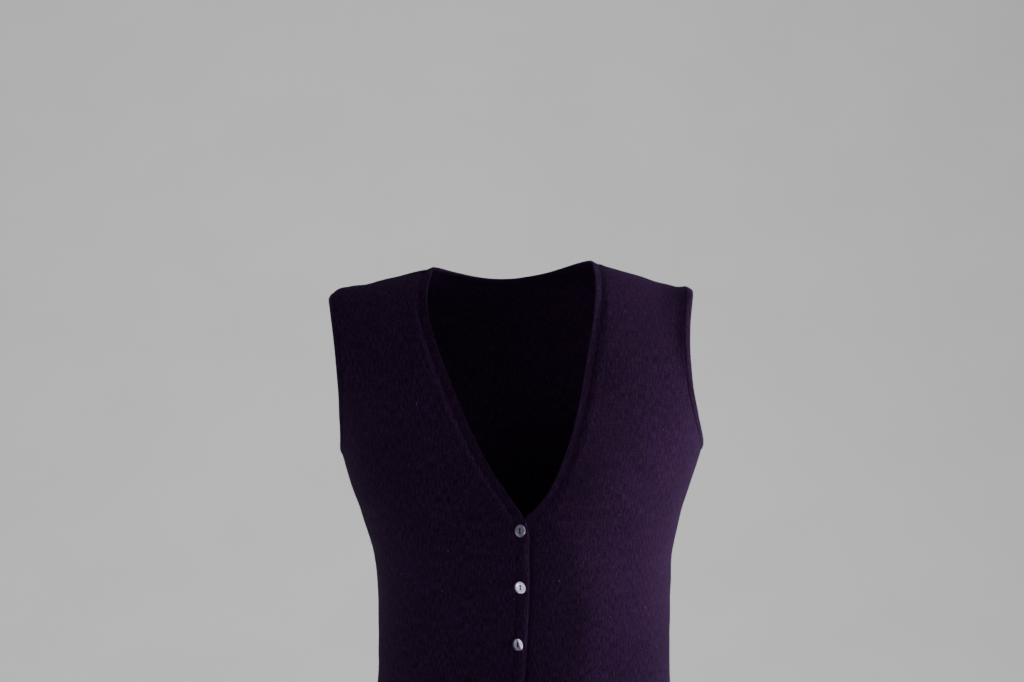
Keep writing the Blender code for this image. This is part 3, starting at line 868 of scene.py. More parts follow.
def wall(name, inner, outer, places, material):
    """A closed wall between two grids of points. The knit's inner face shows its reverse."""
    rows, columns = inner.shape[:2]
    high = np.arange(rows * columns).reshape(rows, columns)
    low = high + rows * columns

    def quads(n):
        return np.stack([n[:-1, :-1], n[:-1, 1:], n[1:, 1:], n[1:, :-1]], axis=-1).reshape(-1, 4)

    def around(n):
        return np.concatenate([n[0, :-1], n[:-1, -1], n[-1, :0:-1], n[:0:-1, 0]])

    a, b = around(high), around(low)
    rim = np.stack([a, b, np.roll(b, -1), np.roll(a, -1)], axis=-1)
    faces = np.concatenate([quads(high), quads(low)[:, ::-1], rim])
    reverse = places.copy()
    reverse[..., 2] = 0
    points = np.concatenate([outer.reshape(-1, 3), inner.reshape(-1, 3)])
    all_places = np.concatenate([places.reshape(-1, 3), reverse.reshape(-1, 3)])
    return new_object(name, points, faces, material, all_places)


def tube_faces(rows, sides, closed):
    """Faces between the rings of a tube, which lie one after another."""
    n = np.arange(rows * sides).reshape(rows, sides)
    above = np.roll(n, -1, axis=0)
    quads = np.stack([n, np.roll(n, -1, axis=1), np.roll(above, -1, axis=1), above], axis=-1)
    return (quads if closed else quads[:-1]).reshape(-1, 4)


def cap_faces(first, sides):
    """Four-cornered faces that close a ring with an even number of points."""
    ring = first + np.arange(sides)
    half = sides // 2
    left, right = ring[:half], ring[half:][::-1]
    return np.stack([left[:-1], left[1:], right[1:], right[:-1]], axis=-1)


def capped_faces(rows, sides, closed):
    """A tube's faces, and those that close its two ends unless it is a ring."""
    faces = [tube_faces(rows, sides, closed)]
    if not closed:
        faces += [cap_faces(0, sides)[:, ::-1], cap_faces((rows - 1) * sides, sides)]
    return np.concatenate(faces)


def strip(name, rows, closed, material, shift):
    """A band through its sections. Its knit columns run along it."""
    count, sides = rows.shape[:2]
    places = np.ones(rows.shape)
    places[..., 0] = lengths(rows[0]) / MM + shift
    places[..., 1] = lengths(rows.mean(axis=1))[:, None] / MM
    faces = capped_faces(count, sides, closed)
    return new_object(name, rows.reshape(-1, 3), faces, material, places.reshape(-1, 3))


def tube(path, radii, sides, closed=False):
    """The points and faces of a round tube along a path, with a radius at each point."""
    path = np.asarray(path)
    along = tangents(path, closed)
    aside = unit(np.cross(along, (0.31, 0.17, 0.93)))  # a way that no path here runs along
    up = np.cross(aside, along)
    turn = np.linspace(0, 2 * math.pi, sides, endpoint=False)
    ring = np.cos(turn)[:, None, None] * aside + np.sin(turn)[:, None, None] * up
    points = path + np.asarray(radii)[:, None] * ring
    return points.transpose(1, 0, 2).reshape(-1, 3), capped_faces(len(path), sides, closed)


def joined(parts):
    """Several sets of points and faces as one."""
    points, faces, start = [], [], 0
    for some_points, some_faces in parts:
        points.append(some_points)
        faces.append(some_faces + start)
        start += len(some_points)
    return np.concatenate(points), np.concatenate(faces)


def resampled(path, step, closed=False):
    """Points at even steps along a path, and how far along it they lie."""
    path = np.concatenate([path, path[:1]]) if closed else path
    along = lengths(path)
    count = max(2, int(along[-1] / step))
    at = np.linspace(0, along[-1], count + 1)
    at = at[:-1] if closed else at
    return np.stack([np.interp(at, along, path[:, k]) for k in range(3)], axis=-1), at


def chain(name, piece, base, material, closed=False, lifts=0):
    """A chain of stitches along a seam on the form."""
    height = relief(piece, base) + CHAIN_DEPTH + lifts
    path, at = resampled(base + outward(base) * height[:, None], CHAIN_STEP, closed)
    beads = np.abs(np.sin(math.pi * at / CHAIN_STITCH))
    points, faces = tube(path, CHAIN_RADIUS + CHAIN_SWELL * beads, CHAIN_SIDES, closed)
    return new_object(name, points, faces, material)


def nap(name, skin, ways, places, count, seed, material):
    """Short fibres on a grid of outer points: closed needles that lean out of the cloth."""
    draw = np.random.default_rng(seed)
    corner = skin[:-1, :-1]
    size = np.linalg.norm(np.cross(skin[1:, :-1] - corner, skin[:-1, 1:] - corner), axis=-1)
    pick = draw.choice(size.size, count, p=(size / size.sum()).ravel())
    i, j = np.unravel_index(pick, size.shape)
    s, t = draw.random((2, count, 1))

    def at(grid):
        low = mix(grid[i, j], grid[i, j + 1], t)
        return mix(low, mix(grid[i + 1, j], grid[i + 1, j + 1], t), s)

    root, way = at(skin), unit(at(ways))
    turn = draw.normal(size=(count, 3)) - (0, 0, FIBRE_DROOP)
    flat = unit(turn - way * np.sum(turn * way, axis=1, keepdims=True))
    lean = np.radians(draw.uniform(*FIBRE_LEANS, (count, 1)))
    long = draw.uniform(*FIBRE_LENGTHS, (count, 1)) * draw.uniform(0.5, 1, (count, 1))
    wide = draw.uniform(*FIBRE_WIDTHS, (count, 1))
    tip = root + long * (flat * np.cos(lean) + way * np.sin(lean))
    aside = np.cross(flat, way)
    foot = root - way * FIBRE_ROOT
    points = np.stack([foot - aside * wide, foot + aside * wide, foot + flat * wide, tip], axis=1)
    first = np.arange(count)[:, None] * 4
    sides = ((0, 1, 3), (1, 2, 3), (2, 0, 3), (1, 0, 2))
    faces = np.concatenate([first + side for side in sides])
    stitch = np.repeat(at(places), 4, axis=0)
    stitch[:, 2] = np.repeat(draw.random(count), 4)
    return new_object(name, points.reshape(-1, 3), faces, material, stitch)


def outer_face(points):
    """How far the right front's outer face stands off the form, on its band or beside it."""
    across = free_edge(RIGHT, points[..., 2]) - points[..., 0]
    half = band_width(points[..., 2]) / 2
    band = BAND_TOP - BAND_CROWN * np.abs(across / half - 1)
    on_band = (across > 0) & (across < 2 * half)
    return relief("front_right", points) + np.where(on_band, band, WALL)


def button_place(row):
    """Where a button lies: its face leaning as stated, its back lowered onto the cloth."""
    z = -row["drop"] * MM
    on_form = body(np.array(row["across"] * MM), np.array(z), FRONT)
    way = outward(on_form[None])[0]
    aside = unit(np.cross(-way, (0, 0, 1)))
    up = np.cross(aside, -way)
    direction, tilt = math.radians(row["towards"]), math.radians(row["tilt"])
    lean = aside * math.cos(direction) + up * math.sin(direction)
    face = way * math.cos(tilt) + lean * math.sin(tilt)
    holes_along = unit(np.cross(face, aside))
    right = np.cross(holes_along, face)
    turn = Matrix((right, holes_along, face)).transposed()

    around = np.linspace(0, 2 * math.pi, BUTTON_SIDES, endpoint=False)
    ring = np.outer(np.cos(around), right) + np.outer(np.sin(around), holes_along)
    back = on_form + np.concatenate([ring * share for share in BACK_RINGS]) * BUTTON_RADIUS
    height = (back - body(back[:, 0], back[:, 2], FRONT)) @ way
    lift = np.max(outer_face(back) - height) + SEAM_GAP / math.cos(tilt)
    on_cloth = on_form + way * outer_face(on_form[None])[0]
    return Matrix.Translation(Vector(on_form + way * lift)) @ turn.to_4x4(), on_cloth


def button_mesh(material):
    """A turned two-hole button lying on its back at z = 0."""
    rows = np.array(BUTTON_OUTLINE) * MM
    at = np.linspace(0, lengths(rows)[-1], OUTLINE_STEPS * len(rows))
    fine = [np.interp(at, lengths(rows), column) for column in rows.T]
    radius, height = (fine[OUTLINE_COLUMNS.index(name)] for name in ("radius", "height"))
    turn = np.linspace(0, 2 * math.pi, FINE_BUTTON_SIDES, endpoint=False)
    ring = np.stack([np.cos(turn), np.sin(turn), np.zeros(len(turn))], axis=-1)
    inside = slice(1, -1)
    points = radius[inside, None, None] * ring + height[inside, None, None] * np.array((0, 0, 1))
    count = points.shape[0]
    points = points.reshape(-1, 3)
    faces = tube_faces(count, FINE_BUTTON_SIDES, False).tolist()
    for first, z in ((0, height[0]), ((count - 1) * FINE_BUTTON_SIDES, height[-1])):
        points = np.concatenate([points, [(0, 0, z)]])
        ring_at = [first + k for k in range(FINE_BUTTON_SIDES)]
        turned = ring_at if first else ring_at[::-1]
        faces += [(a, b, len(points) - 1) for a, b in zip(turned, turned[1:] + turned[:1])]
    data = bpy.data.meshes.new("button")
    data.from_pydata(points.tolist(), [], faces)
    data.materials.append(material)
    made = linked("button", data)
    heights, flares = (
        np.array(HOLE_OUTLINE)[:, HOLE_COLUMNS.index(name)] for name in ("height", "flare")
    )
    holes = []
    for side in (-1, 1):
        path = [(0, side * HOLE_SPACING / 2, z * MM) for z in heights]
        radii = HOLE_RADIUS + HOLE_FLARE * flares
        holes.append(new_object("hole", *tube(path, radii, HOLE_SIDES), material))
        cut = made.modifiers.new("hole", "BOOLEAN")
        cut.operation, cut.object = "DIFFERENCE", holes[-1]
    finished = made.evaluated_get(bpy.context.evaluated_depsgraph_get())
    cut_mesh = bpy.data.meshes.new_from_object(finished)
    for leftover in (made, *holes):
        bpy.data.objects.remove(leftover)
    cut_mesh.shade_smooth()
    cut_mesh.set_sharp_from_angle(angle=BUTTON_CREASE)
    return cut_mesh


def paint_nacre_and_gleam(data, gleam):
    """Writes a button's painted brightness to its points, as the attribute nacre_and_painted_gleam:
    partly the nacre's own layers, partly painted highlight and shade.
    """
    points = np.empty(3 * len(data.vertices))
    data.vertices.foreach_get("co", points)
    points = points.reshape(-1, 3)
    way = math.radians(gleam["towards"])
    share = (points[:, 0] * math.cos(way) + points[:, 1] * math.sin(way)) / BUTTON_RADIUS
    step = smooth((share - gleam["boundary"]) / (2 * GLEAM_BLEND) + 0.5)
    layer = data.attributes.new("nacre_and_painted_gleam", "FLOAT", "POINT")
    layer.data.foreach_set("value", mix(gleam["near"], gleam["far"], step).astype(np.float32))


def button_thread(name, place, on_cloth, material):
    """The strands over a button's bridge, the thread in its holes, and the shank under it."""
    half = HOLE_SPACING / 2
    turn = np.linspace(-1, 1, STRAND_POINTS)
    fall_in = STRAND_FALL * np.clip(np.abs(turn) - STRAND_BEND, 0, 1) ** 0.8
    rise = POLISHED_SIZE[2] * DISH_FLOOR + THREAD_RADIUS * STRAND_RISE - fall_in
    parts = []
    for number, aside in enumerate(THREAD_STRANDS):
        along = half * np.clip(turn * 1.25, -1, 1) + STRAND_SHIFT * number
        local = np.stack([np.full(STRAND_POINTS, aside), along, rise], axis=-1)
        world = np.array([place @ Vector(p) for p in local])
        parts.append(tube(world, np.full(STRAND_POINTS, THREAD_RADIUS), 8))
    for side in (-1, 1):
        ends = [place @ Vector((0, side * half, z)) for z in (PLUG_FOOT, PLUG_TOP)]
        parts.append(tube(np.array(ends), np.full(2, PLUG_RADIUS), 16))
    back = np.array(place @ Vector((0, 0, SHANK_START)))
    share = np.linspace(0, 1, SHANK_POINTS)
    post = back + (np.asarray(on_cloth) - back) * share[:, None] * SHANK_REACH
    wound = SHANK_WOUND * np.sin(share * SHANK_WRAPS * math.pi)
    wraps = SHANK_RADIUS * (1 + wound + 0.5 * (share - 0.5) ** 2)
    parts.append(tube(post, wraps, 12))
    return new_object(name, *joined(parts), material)


def lint(material):
    """Small curled fibres of lint on the fronts."""
    parts = []
    t = np.linspace(-1, 1, LINT_POINTS)
    for number, row in enumerate(LINT):
        spot = dict(zip(LINT_COLUMNS, row))
        draw = np.random.default_rng(LINT_SEED + number)
        turn = math.radians(spot["turn"])
        curl = LINT_CURL[0] * np.sin(LINT_CURL[1] * t + draw.uniform(0, 3))
        bend = np.stack([t, curl], axis=-1) * spot["size"]
        x = spot["across"] + bend[:, 0] * math.cos(turn) - bend[:, 1] * math.sin(turn)
        drop = spot["drop"] + bend[:, 0] * math.sin(turn) + bend[:, 1] * math.cos(turn)
        base = body(x * MM, -drop * MM, FRONT)
        piece = "front_right" if spot["across"] < -PLACKET_REACH else "front_left"
        stand = WALL + relief(piece, base) + LINT_THICK * 0.6
        if -PLACKET_REACH <= spot["across"] < PLACKET_REACH:
            stand = outer_face(base) + LINT_THICK
        path = base + outward(base) * stand[:, None]
        parts.append(tube(path, LINT_THICK * (1.1 - np.abs(t)), 6))
    return new_object("lint", *joined(parts), material)


def node(tree, kind, inputs=(), **settings):
    """Adds a shader node. Inputs are values, or the outputs of other nodes."""
    made = tree.nodes.new(kind)
    for key, value in settings.items():
        setattr(made, key, value)
    for key, value in dict(inputs).items():
        if isinstance(value, bpy.types.NodeSocket):
            tree.links.new(value, made.inputs[key])
        else:
            made.inputs[key].default_value = value
    return made


def calc(tree, operation, *values):
    return node(tree, "ShaderNodeMath", enumerate(values), operation=operation).outputs[0]


def blended(tree, share, a, b):
    """A colour between two others."""
    made = node(tree, "ShaderNodeMix", {0: share, 6: a, 7: b}, data_type="RGBA")
    return made.outputs[2]


def ramp(tree, value, low, high):
    """0 below low and 1 above high, softly."""
    inputs = {0: value, 1: low, 2: high, 3: 0.0, 4: 1.0}
    made = node(tree, "ShaderNodeMapRange", inputs, interpolation_type="SMOOTHSTEP")
    return made.outputs[0]


def noise(tree, place, stretch, detail=2.0, roughness=0.55):
    """Noise whose grain has a length along each axis of place, in the units of place."""
    scale = tuple(1 / s for s in stretch)
    spot = node(tree, "ShaderNodeVectorMath", {0: place, 1: scale}, operation="MULTIPLY")
    inputs = {"Vector": spot.outputs[0], "Scale": 1.0, "Detail": detail, "Roughness": roughness}
    return node(tree, "ShaderNodeTexNoise", inputs).outputs[0]


def new_material(name, **constants):
    """A Principled material with its constants set on its sockets."""
    made = bpy.data.materials.new(name)
    made.use_nodes = True
    shader = made.node_tree.nodes["Principled BSDF"]
    for key, value in constants.items():
        shader.inputs[key.replace("_", " ")].default_value = value
    return made, made.node_tree, shader


def dent(tree, shader, height, distance, strength):
    """Bumps a material's surface by a height."""
    inputs = {"Height": height, "Distance": distance, "Strength": strength}
    tree.links.new(node(tree, "ShaderNodeBump", inputs).outputs[0], shader.inputs["Normal"])


def stitches(tree, place, gauge):
    """The height of stockinette: each column is a row of V shapes, on the reverse of arcs."""
    split = node(tree, "ShaderNodeSeparateXYZ", {0: place})
    wander = noise(tree, place, WANDER, 1.0)
    off = calc(tree, "MULTIPLY", calc(tree, "SUBTRACT", wander, 0.5), 0.9)
    column, row = (
        calc(tree, "DIVIDE", calc(tree, "ADD", split.outputs[k], off), gauge[k]) for k in range(2)
    )
    from_middle = calc(tree, "MULTIPLY", calc(tree, "PINGPONG", column, 0.5), 2.0)
    leg = calc(tree, "SINE", calc(tree, "MULTIPLY", from_middle, math.pi))
    slanted = calc(tree, "ADD", row, calc(tree, "MULTIPLY", from_middle, 0.6))
    beat = calc(tree, "COSINE", calc(tree, "MULTIPLY", slanted, 2 * math.pi))
    knit = calc(tree, "MULTIPLY", leg, calc(tree, "MULTIPLY_ADD", beat, 0.3, 0.7))
    arc = calc(tree, "COSINE", calc(tree, "MULTIPLY", calc(tree, "ADD", row, leg), 2 * math.pi))
    purl = calc(tree, "MULTIPLY_ADD", arc, 0.4, 0.5)
    return node(tree, "ShaderNodeMix", {0: split.outputs[2], 2: purl, 3: knit}).outputs[0]


def knit_material(name, gauge, tones, bump):
    """Felted fine knit in heathered yarn. Tones are its dark, middle, light, cool and warm
    colours and its pale fibres."""
    made, tree, shader = new_material(
        name,
        Roughness=0.92,
        Specular_IOR_Level=0.15,
        Sheen_Weight=SHEEN[0],
        Sheen_Roughness=SHEEN[1],
        Sheen_Tint=SHEEN[2],
    )
    place = node(tree, "ShaderNodeAttribute", attribute_name="knit").outputs["Vector"]
    dark, middle, light, cool, warm, pale = tones
    height = stitches(tree, place, gauge)
    streak = noise(tree, place, STREAKS, 3.0, 0.6)
    grain = noise(tree, place, GRAIN, 2.0, 0.6)
    tone = calc(tree, "MULTIPLY_ADD", streak, 0.6, calc(tree, "MULTIPLY", grain, 0.4))
    colour = blended(tree, ramp(tree, tone, 0.38, 0.52), dark, middle)
    colour = blended(tree, ramp(tree, tone, 0.48, 0.60), colour, light)
    hue = noise(tree, place, HUES, 2.0)
    colour = blended(tree, calc(tree, "MULTIPLY", ramp(tree, hue, 0.54, 0.66), 0.8), colour, warm)
    colour = blended(tree, calc(tree, "MULTIPLY", ramp(tree, hue, 0.46, 0.34), 0.8), colour, cool)
    fleck = noise(tree, place, FLECKS, 2.0)
    colour = blended(tree, calc(tree, "MULTIPLY", ramp(tree, fleck, 0.65, 0.74), 0.6), colour, pale)
    # Painted shade: the colour is darkened in the stitches' hollows and lightened on their tops,
    # then multiplied by broad patches of tone that differ at random
    stitch_shade_and_patches = calc(tree, "MULTIPLY_ADD", height, 0.5, 0.65)
    broad = noise(tree, place, PATCHES, 2.0)
    stitch_shade_and_patches = calc(tree, "MULTIPLY", stitch_shade_and_patches, calc(tree, "MULTIPLY_ADD", broad, 0.5, 0.75))
    shaded = node(tree, "ShaderNodeVectorMath", {0: colour, "Scale": stitch_shade_and_patches}, operation="SCALE")
    tree.links.new(shaded.outputs[0], shader.inputs["Base Color"])
    fuzz = noise(tree, place, FUZZ, 3.0, 0.65)
    lumps = calc(tree, "MULTIPLY_ADD", height, 0.5, calc(tree, "MULTIPLY", fuzz, 1.1))
    lumps = calc(tree, "MULTIPLY_ADD", grain, 1.1, lumps)
    lumps = calc(tree, "MULTIPLY_ADD", streak, 0.8, lumps)
    dent(tree, shader, lumps, 0.7 * MM, bump)
    return made


def nap_material(name, dark, light):
    """Fibres of the nap, each in its own tone."""
    made, tree, shader = new_material(
        name, Roughness=0.8, Sheen_Weight=SHEEN[0], Sheen_Roughness=0.4, Sheen_Tint=SHEEN[2]
    )
    place = node(tree, "ShaderNodeAttribute", attribute_name="knit").outputs["Vector"]
    tone = node(tree, "ShaderNodeSeparateXYZ", {0: place}).outputs[2]
    colour = blended(tree, calc(tree, "POWER", tone, 2.2), dark, light)
    tree.links.new(colour, shader.inputs["Base Color"])
    return made


def thread_material(name):
    """Twisted sewing thread."""
    dark, light, size = THREADS[name]
    made, tree, shader = new_material(name, Roughness=0.75, Specular_IOR_Level=0.25)
    place = node(tree, "ShaderNodeTexCoord").outputs["Object"]
    grain = noise(tree, place, (size, size * 1.7, size), 2.0)
    colour = blended(tree, ramp(tree, grain, 0.4, 0.62), dark, light)
    tree.links.new(colour, shader.inputs["Base Color"])
    dent(tree, shader, grain, 0.1 * MM, 0.6)
    return made


def pearl_material(name):
    """Mother-of-pearl: grey and bright tones, partly the nacre's own layers and partly painted
    shade and highlight, with pink and green tints under a polish.
    """
    made, tree, shader = new_material(
        name, IOR=1.6, Coat_Weight=0.03, Coat_Roughness=0.1, Specular_IOR_Level=0.5
    )
    place = node(tree, "ShaderNodeNewGeometry").outputs["Position"]
    swirl = noise(tree, place, SWIRLS, 3.0)
    layers = noise(tree, place, LAYERS, 4.0, 0.6)
    nacre_and_painted_gleam = node(tree, "ShaderNodeAttribute", attribute_name="nacre_and_painted_gleam").outputs["Fac"]
    uneven = calc(tree, "MULTIPLY_ADD", layers, 0.3, -0.15)
    share = node(tree, "ShaderNodeClamp", {0: calc(tree, "ADD", nacre_and_painted_gleam, uneven)}).outputs[0]
    grey, bright, pink, green = PEARL_TONES
    # Painted highlight and shade: bright where a face turns to the light, grey where it turns away,
    # over the nacre's own layers
    colour = blended(tree, share, grey, bright)
    for tone, low, high, part in ((pink, 0.52, 0.68, 0.45), (green, 0.46, 0.32, 0.3)):
        tint = calc(tree, "MULTIPLY", ramp(tree, swirl, low, high), part)
        colour = blended(tree, tint, colour, tone)
    tree.links.new(colour, shader.inputs["Base Color"])
    dull = calc(tree, "MULTIPLY_ADD", layers, 0.2, 0.52)
    rough = calc(tree, "MULTIPLY_ADD", share, -0.42, dull)
    tree.links.new(rough, shader.inputs["Roughness"])
    tree.links.new(calc(tree, "MULTIPLY", share, 0.16), shader.inputs["Metallic"])
    dent(tree, shader, layers, 0.06 * MM, 0.35)
    return made


# Mother-of-pearl: its grey tone and its bright one, partly painted shade and highlight, and its
# pink and green tints
PEARL_TONES = (
    (0.045, 0.042, 0.120, 1),
    (0.82, 0.80, 1.0, 1),
    (0.62, 0.42, 0.52, 1),
    (0.40, 0.56, 0.60, 1),
)
SHEEN = (0.10, 0.45, (0.64, 0.24, 0.95, 1))
BODY_TONES = (
    (0.0080, 0.0021, 0.0115, 1),
    (0.0280, 0.0067, 0.0420, 1),
    (0.0720, 0.0184, 0.1080, 1),
    (0.0150, 0.0103, 0.0420, 1),
    (0.0640, 0.0092, 0.0560, 1),
    (0.1900, 0.1380, 0.2500, 1),
)
BAND_TONES = (
    (0.0070, 0.0018, 0.0100, 1),
    (0.0240, 0.0057, 0.0360, 1),
    (0.0600, 0.0152, 0.0900, 1),
    (0.0130, 0.0092, 0.0360, 1),
    (0.0540, 0.0080, 0.0480, 1),
    (0.1500, 0.1092, 0.2000, 1),
)

NAP_TONES = ((0.022, 0.006, 0.034, 1), (0.12, 0.06, 0.17, 1))
# Threads: their dark and light tones, and the size of their grain in metres
THREADS = {
    "seam_thread": ((0.006, 0.0018, 0.009, 1), (0.016, 0.0045, 0.024, 1), 0.0006),
    "soft_thread": ((0.016, 0.004, 0.024, 1), (0.046, 0.011, 0.068, 1), 0.0006),
    "button_thread": ((0.003, 0.002, 0.005, 1), (0.012, 0.006, 0.018, 1), 0.0005),
    "lint": ((0.30, 0.27, 0.33, 1), (0.55, 0.52, 0.58, 1), 0.001),
}


def join(made, solid=None):
    """Joins a piece to the body, in place of its solid if it has one."""
    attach(made, "root")
    if solid:
        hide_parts(solid)


def declare(made, piece, extras):
    """Joins a sheet, its seams and its nap to the body."""
    join(made, piece)
    for extra in extras:
        join(extra)


def seam_shift(points, face):
    """Half a seam's gap, away from the plane between front and back."""
    points[..., 1] += face * SEAM_GAP / 2


def build_band(name, panel, path, widths, sinks, lifts, meets, looks, ring=False):
    """A band, the chain along its seam and its nap. Path is its free edge and the way from it
    into the panel. Meets gives the rows that meet other pieces, and the faces they lie on."""
    spec = dict(zip(BAND_COLUMNS, BANDS[name]))
    rows = band_rows(panel, *path, widths, sinks, lifts)
    for row, face in meets:
        seam_shift(rows[row], face)
    made = strip("edging_" + name, rows, ring, looks["edging"], spec["shift"])
    middle = seam_line(*path, widths, 0.5)
    sewn, raised = (looks["soft"], SOFT_LIFT) if ring else (looks["thread"], 0)
    lifts = lifts + raised - CHAIN_SINK * sinks
    seam = chain("seam_" + spec["label"], panel, middle, sewn, ring, lifts)
    half = rows[:, : BAND_POINTS // 2 + 1]
    ways = unit(half - rows.mean(axis=1)[:, None])
    hair = (spec["fibres"], spec["seed"], looks["fluff"])
    hairs = nap("nap_" + spec["label"], half, ways, half / MM, *hair)
    declare(made, name, [seam, hairs])


def build_panel(panel, grid, roll, dip, meets, face, shift, seams, looks):
    """A panel, the chains along its seams and its nap. Meets gives the places in its grid that
    meet other pieces, and face the one they lie on."""
    inner, outside, ways = cloth(panel, grid, roll, dip)
    for points in (inner, outside):
        for place in meets:
            seam_shift(points[place], face)
    places = knit_places(grid, shift)
    made = wall("cloth_" + panel, inner, outside, places, looks["knit"])
    extras = [
        chain("seam_" + label, panel, path, looks[thread], lifts=lift)
        for label, path, thread, lift in seams
    ]
    hair = (FIBRES[panel], PANEL_SEEDS[panel], looks["fluff"])
    extras.append(nap("nap_" + panel, outside, ways, places, *hair))
    declare(made, panel, extras)


def build_front(side, ring, shares, looks):
    """A front and its band, beside the seam round an armhole. Gives its top row, the edge that
    the back has on this side, and the number of its row at the underarm."""
    word = "right" if side == RIGHT else "left"
    panel = "front_" + word
    levels = levels_below(ring[ARMHOLE_STEPS][2])
    turn_row = len(levels) - 1
    path = front_edge(side, levels, shares)
    widths = band_width(path[0][:, 2])
    seam = seam_line(*path, widths)
    sinks = valley(path[0][:, 2])
    build_band("band_" + word, panel, path, widths, sinks, 0 * sinks, [(-1, FRONT)], looks)

    below = side_seam(side, levels[:-1])
    outer = np.concatenate([below, ring[: ARMHOLE_STEPS + 1][::-1]])
    grid = front_grid(side, seam, outer, turn_row)
    at_bands = dips_at(seam[:, 2], "placket", "neck", BAND_WIDENS_DROPS)
    at_sides = dips_at(outer[:, 2], "side", "armhole", UNDERARM_DROPS)
    roll = edge_roll(grid, seam[seam[:, 2] > -BAND_WIDENS_DROPS[1] * MM], ring, side)
    dip = seam_dip(grid, at_bands, at_sides)
    meets = [np.s_[-1], np.s_[: turn_row + 1, -1]]
    down = ("side_" + word, side_seam(side, levels), "thread", 0)
    over = ("shoulder_" + word, grid[-1], "soft", SOFT_LIFT)
    build_panel(panel, grid, roll, dip, meets, FRONT, 0, [down, over], looks)
    return grid[-1], np.concatenate([below, ring[ARMHOLE_STEPS:], ring[:1]]), turn_row


def build_back(tops, sides, rings, turn_row, shares, looks):
    """The back's neckband and the back, up to the fronts' top rows and sides."""
    path = back_neck_edge()
    widths = np.full(len(path[0]), NECKBAND_WIDTH)
    seam = seam_line(*path, widths)
    sinks = valley(path[0][:, 2])
    meets = [(0, BACK), (-1, BACK)]
    build_band("band_back_neck", "back", path, widths, sinks, 0 * sinks, meets, looks)

    top = np.concatenate([tops[RIGHT][::-1], seam[1:-1], tops[LEFT]])
    grid = back_grid(top, sides[RIGHT], sides[LEFT], turn_row, shares)
    rolls = [edge_roll(grid, seam, rings[side], side) for side in (RIGHT, LEFT)]
    roll = np.where(np.arange(grid.shape[1]) < grid.shape[1] / 2, *rolls)
    heights = [sides[side][:, 2] for side in (RIGHT, LEFT)]
    ends = [dips_at(z, "side", "armhole", UNDERARM_DROPS) for z in heights]
    shoulders = [np.s_[-1, : PANEL_COLUMNS + 1], np.s_[-1, -PANEL_COLUMNS - 1 :]]
    meets = shoulders + [np.s_[: turn_row + 1, 0], np.s_[: turn_row + 1, -1]]
    dip = seam_dip(grid, *ends)
    build_panel("back", grid, roll, dip, meets, BACK, BACK_SHIFT, [], looks)


def build_vest():
    looks = {
        "knit": knit_material("knit", BODY_GAUGE, BODY_TONES, 1.0),
        "edging": knit_material("band_knit", BAND_GAUGE, BAND_TONES, 0.7),
        "fluff": nap_material("nap", *NAP_TONES),
        "thread": thread_material("seam_thread"),
        "soft": thread_material("soft_thread"),
    }
    rings, tops, sides = {}, {}, {}
    for side, name in ((RIGHT, "armband_right"), (LEFT, "armband_left")):
        path = armhole(side)
        widths = np.full(len(path[0]), ARMBAND_WIDTH)
        rings[side] = seam_line(*path, widths)
        lifts = flare(side, path[0][:, 2])
        build_band(name, "back", path, widths, 0 * lifts, lifts, [], looks, True)
    shares = shares_above()
    for side in (RIGHT, LEFT):
        tops[side], sides[side], turn_row = build_front(side, rings[side], shares, looks)
    build_back(tops, sides, rings, turn_row, shares, looks)


def build_buttons():
    thread = thread_material("button_thread")
    shape = button_mesh(pearl_material("pearl"))
    for number, (row, gleam) in enumerate(zip(BUTTONS, PAINTED_GLEAMS_AND_NACRE), start=1):
        place, on_cloth = button_place(dict(zip(BUTTON_COLUMNS, row)))
        made = linked(f"pearl_button_{number}", shape.copy())
        # Each button's painted highlight and shade, with the nacre's own layers
        paint_nacre_and_gleam(made.data, dict(zip(GLEAM_COLUMNS, gleam)))
        made.data.transform(place @ Matrix.Diagonal((*POLISHED_SIZE, 1)))
        join(made, f"button_{number}")
        join(button_thread(f"thread_button_{number}", place, on_cloth, thread))


# The camera: where the photograph was taken from, and half its field of view
CAMERA_TURN = math.radians(4.2)
CAMERA_DOWN = math.radians(9.5)
CAMERA_AWAY = 2.39
CAMERA_HEIGHT = 0.3245
VIEW_HALF_ANGLE = math.radians(12)

FLOOR_DROP = 1.6
FLOOR_SIZE = 60.0
WALL_AWAY = 6.0
WALL_BEND = 4.0
WALL_HEIGHT = 6.0
FLOOR_TONES = ((0.76, 0.76, 0.77, 1), (0.80, 0.80, 0.81, 1))

# Lights: where they aim, the way to them from there, their sizes and their spread in degrees
LIGHT_COLUMNS = ("name", "target", "turn", "rise", "away", "size", "spread", "power", "colour")
LIGHTS = (
    ("key", (0, 0.01, -0.19), 96, 0, 2.2, (0.8, 0.5), 22, 1.55, (1.0, 0.91, 1.03)),
    ("front", (0, 0, -0.25), 50, 0, 3.0, (1.4, 1.6), 180, 9, (1.0, 0.93, 1.0)),
    ("glint", (0, -0.12, -0.32), 85, 25, 2.2, (0.22, 0.75), 180, 9, (1.0, 0.96, 1.0)),
    ("fill", (0, 0, -0.25), -35, 0, 3.0, (1.8, 1.8), 180, 3, (0.97, 0.97, 1.0)),
    ("backdrop", (0, 4.6, -0.4), 0, 30, 3.9, (4.0, 0.7), 180, 105, (1.0, 1.0, 1.0)),
)
# The studio's light from all round, and the weaker light from above
WORLD_COLOUR = (0.83, 0.83, 0.82, 1)
ZENITH_COLOUR = (0.30, 0.30, 0.30, 1)
WORLD_STRENGTH = 0.48
ZENITH_BLEND = (0.15, 0.75)  # the heights between which one becomes the other


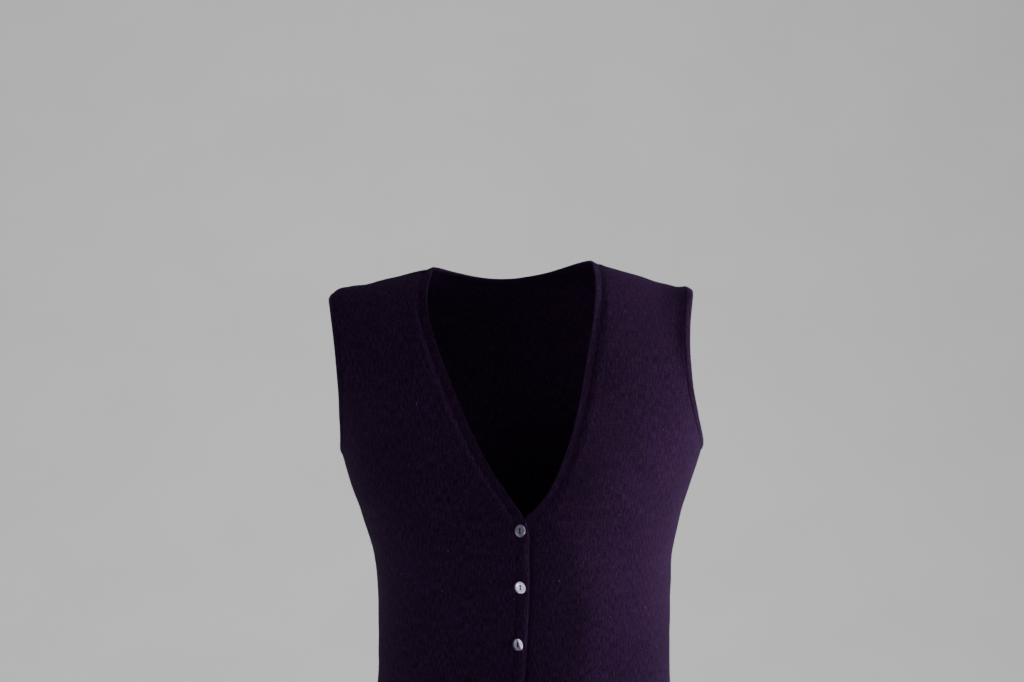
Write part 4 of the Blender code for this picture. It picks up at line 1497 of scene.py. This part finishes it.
def build_floor():
    """A pale floor that bends up into a wall behind."""
    turn, half = np.linspace(0, math.pi / 2, 25), FLOOR_SIZE / 2
    y = np.concatenate([[-half], WALL_AWAY - WALL_BEND * (1 - np.sin(turn)), [WALL_AWAY]])
    z = np.concatenate([[0], WALL_BEND * (1 - np.cos(turn)), [WALL_HEIGHT]]) - FLOOR_DROP
    points = [(side * half, a, b) for a, b in zip(y, z) for side in (-1, 1)]
    faces = [(2 * k, 2 * k + 1, 2 * k + 3, 2 * k + 2) for k in range(len(y) - 1)]
    data = bpy.data.meshes.new("floor")
    data.from_pydata(points, [], faces)
    data.shade_smooth()
    paint, tree, shader = new_material("floor", Roughness=0.85, Specular_IOR_Level=0.2)
    place = node(tree, "ShaderNodeTexCoord").outputs["Object"]
    grain = noise(tree, place, (0.35, 0.35, 0.35), 3.0)
    colour = blended(tree, ramp(tree, grain, 0.2, 0.8), *FLOOR_TONES)
    tree.links.new(colour, shader.inputs["Base Color"])
    data.materials.append(paint)
    linked("floor", data)


def build_lights():
    for row in LIGHTS:
        spec = dict(zip(LIGHT_COLUMNS, row))
        lamp = bpy.data.lights.new(spec["name"], "AREA")
        lamp.shape, (lamp.size, lamp.size_y) = "RECTANGLE", spec["size"]
        lamp.spread = math.radians(spec["spread"])
        lamp.energy, lamp.color = spec["power"], spec["colour"]
        made = linked(spec["name"], lamp)
        turn, rise = math.radians(spec["turn"]), math.radians(spec["rise"])
        level = math.cos(rise)
        way = Vector((math.sin(turn) * level, -math.cos(turn) * level, math.sin(rise)))
        made.location = Vector(spec["target"]) + way * spec["away"]
        to_target = Vector(spec["target"]) - made.location
        made.rotation_euler = to_target.to_track_quat("-Z", "Y").to_euler()

    world = bpy.data.worlds.new("studio")
    world.use_nodes = True
    tree = world.node_tree
    back = tree.nodes["Background"]
    place = node(tree, "ShaderNodeTexCoord").outputs["Generated"]
    above = ramp(tree, node(tree, "ShaderNodeSeparateXYZ", {0: place}).outputs[2], *ZENITH_BLEND)
    tree.links.new(blended(tree, above, WORLD_COLOUR, ZENITH_COLOUR), back.inputs["Color"])
    back.inputs["Strength"].default_value = WORLD_STRENGTH
    bpy.context.scene.world = world


def build_camera():
    camera = bpy.data.cameras.new("camera")
    camera.sensor_width = 36
    camera.lens = camera.sensor_width / 2 / math.tan(VIEW_HALF_ANGLE)
    made = linked("camera", camera)
    aside, ahead = math.sin(CAMERA_TURN), math.cos(CAMERA_TURN)
    made.location = (-CAMERA_AWAY * aside, -CAMERA_AWAY * ahead, CAMERA_HEIGHT)
    made.rotation_euler = (math.pi / 2 - CAMERA_DOWN, 0, -CAMERA_TURN)
    bpy.context.scene.camera = made


build_vest()
build_buttons()
join(lint(thread_material("lint")))
build_floor()
build_lights()
build_camera()
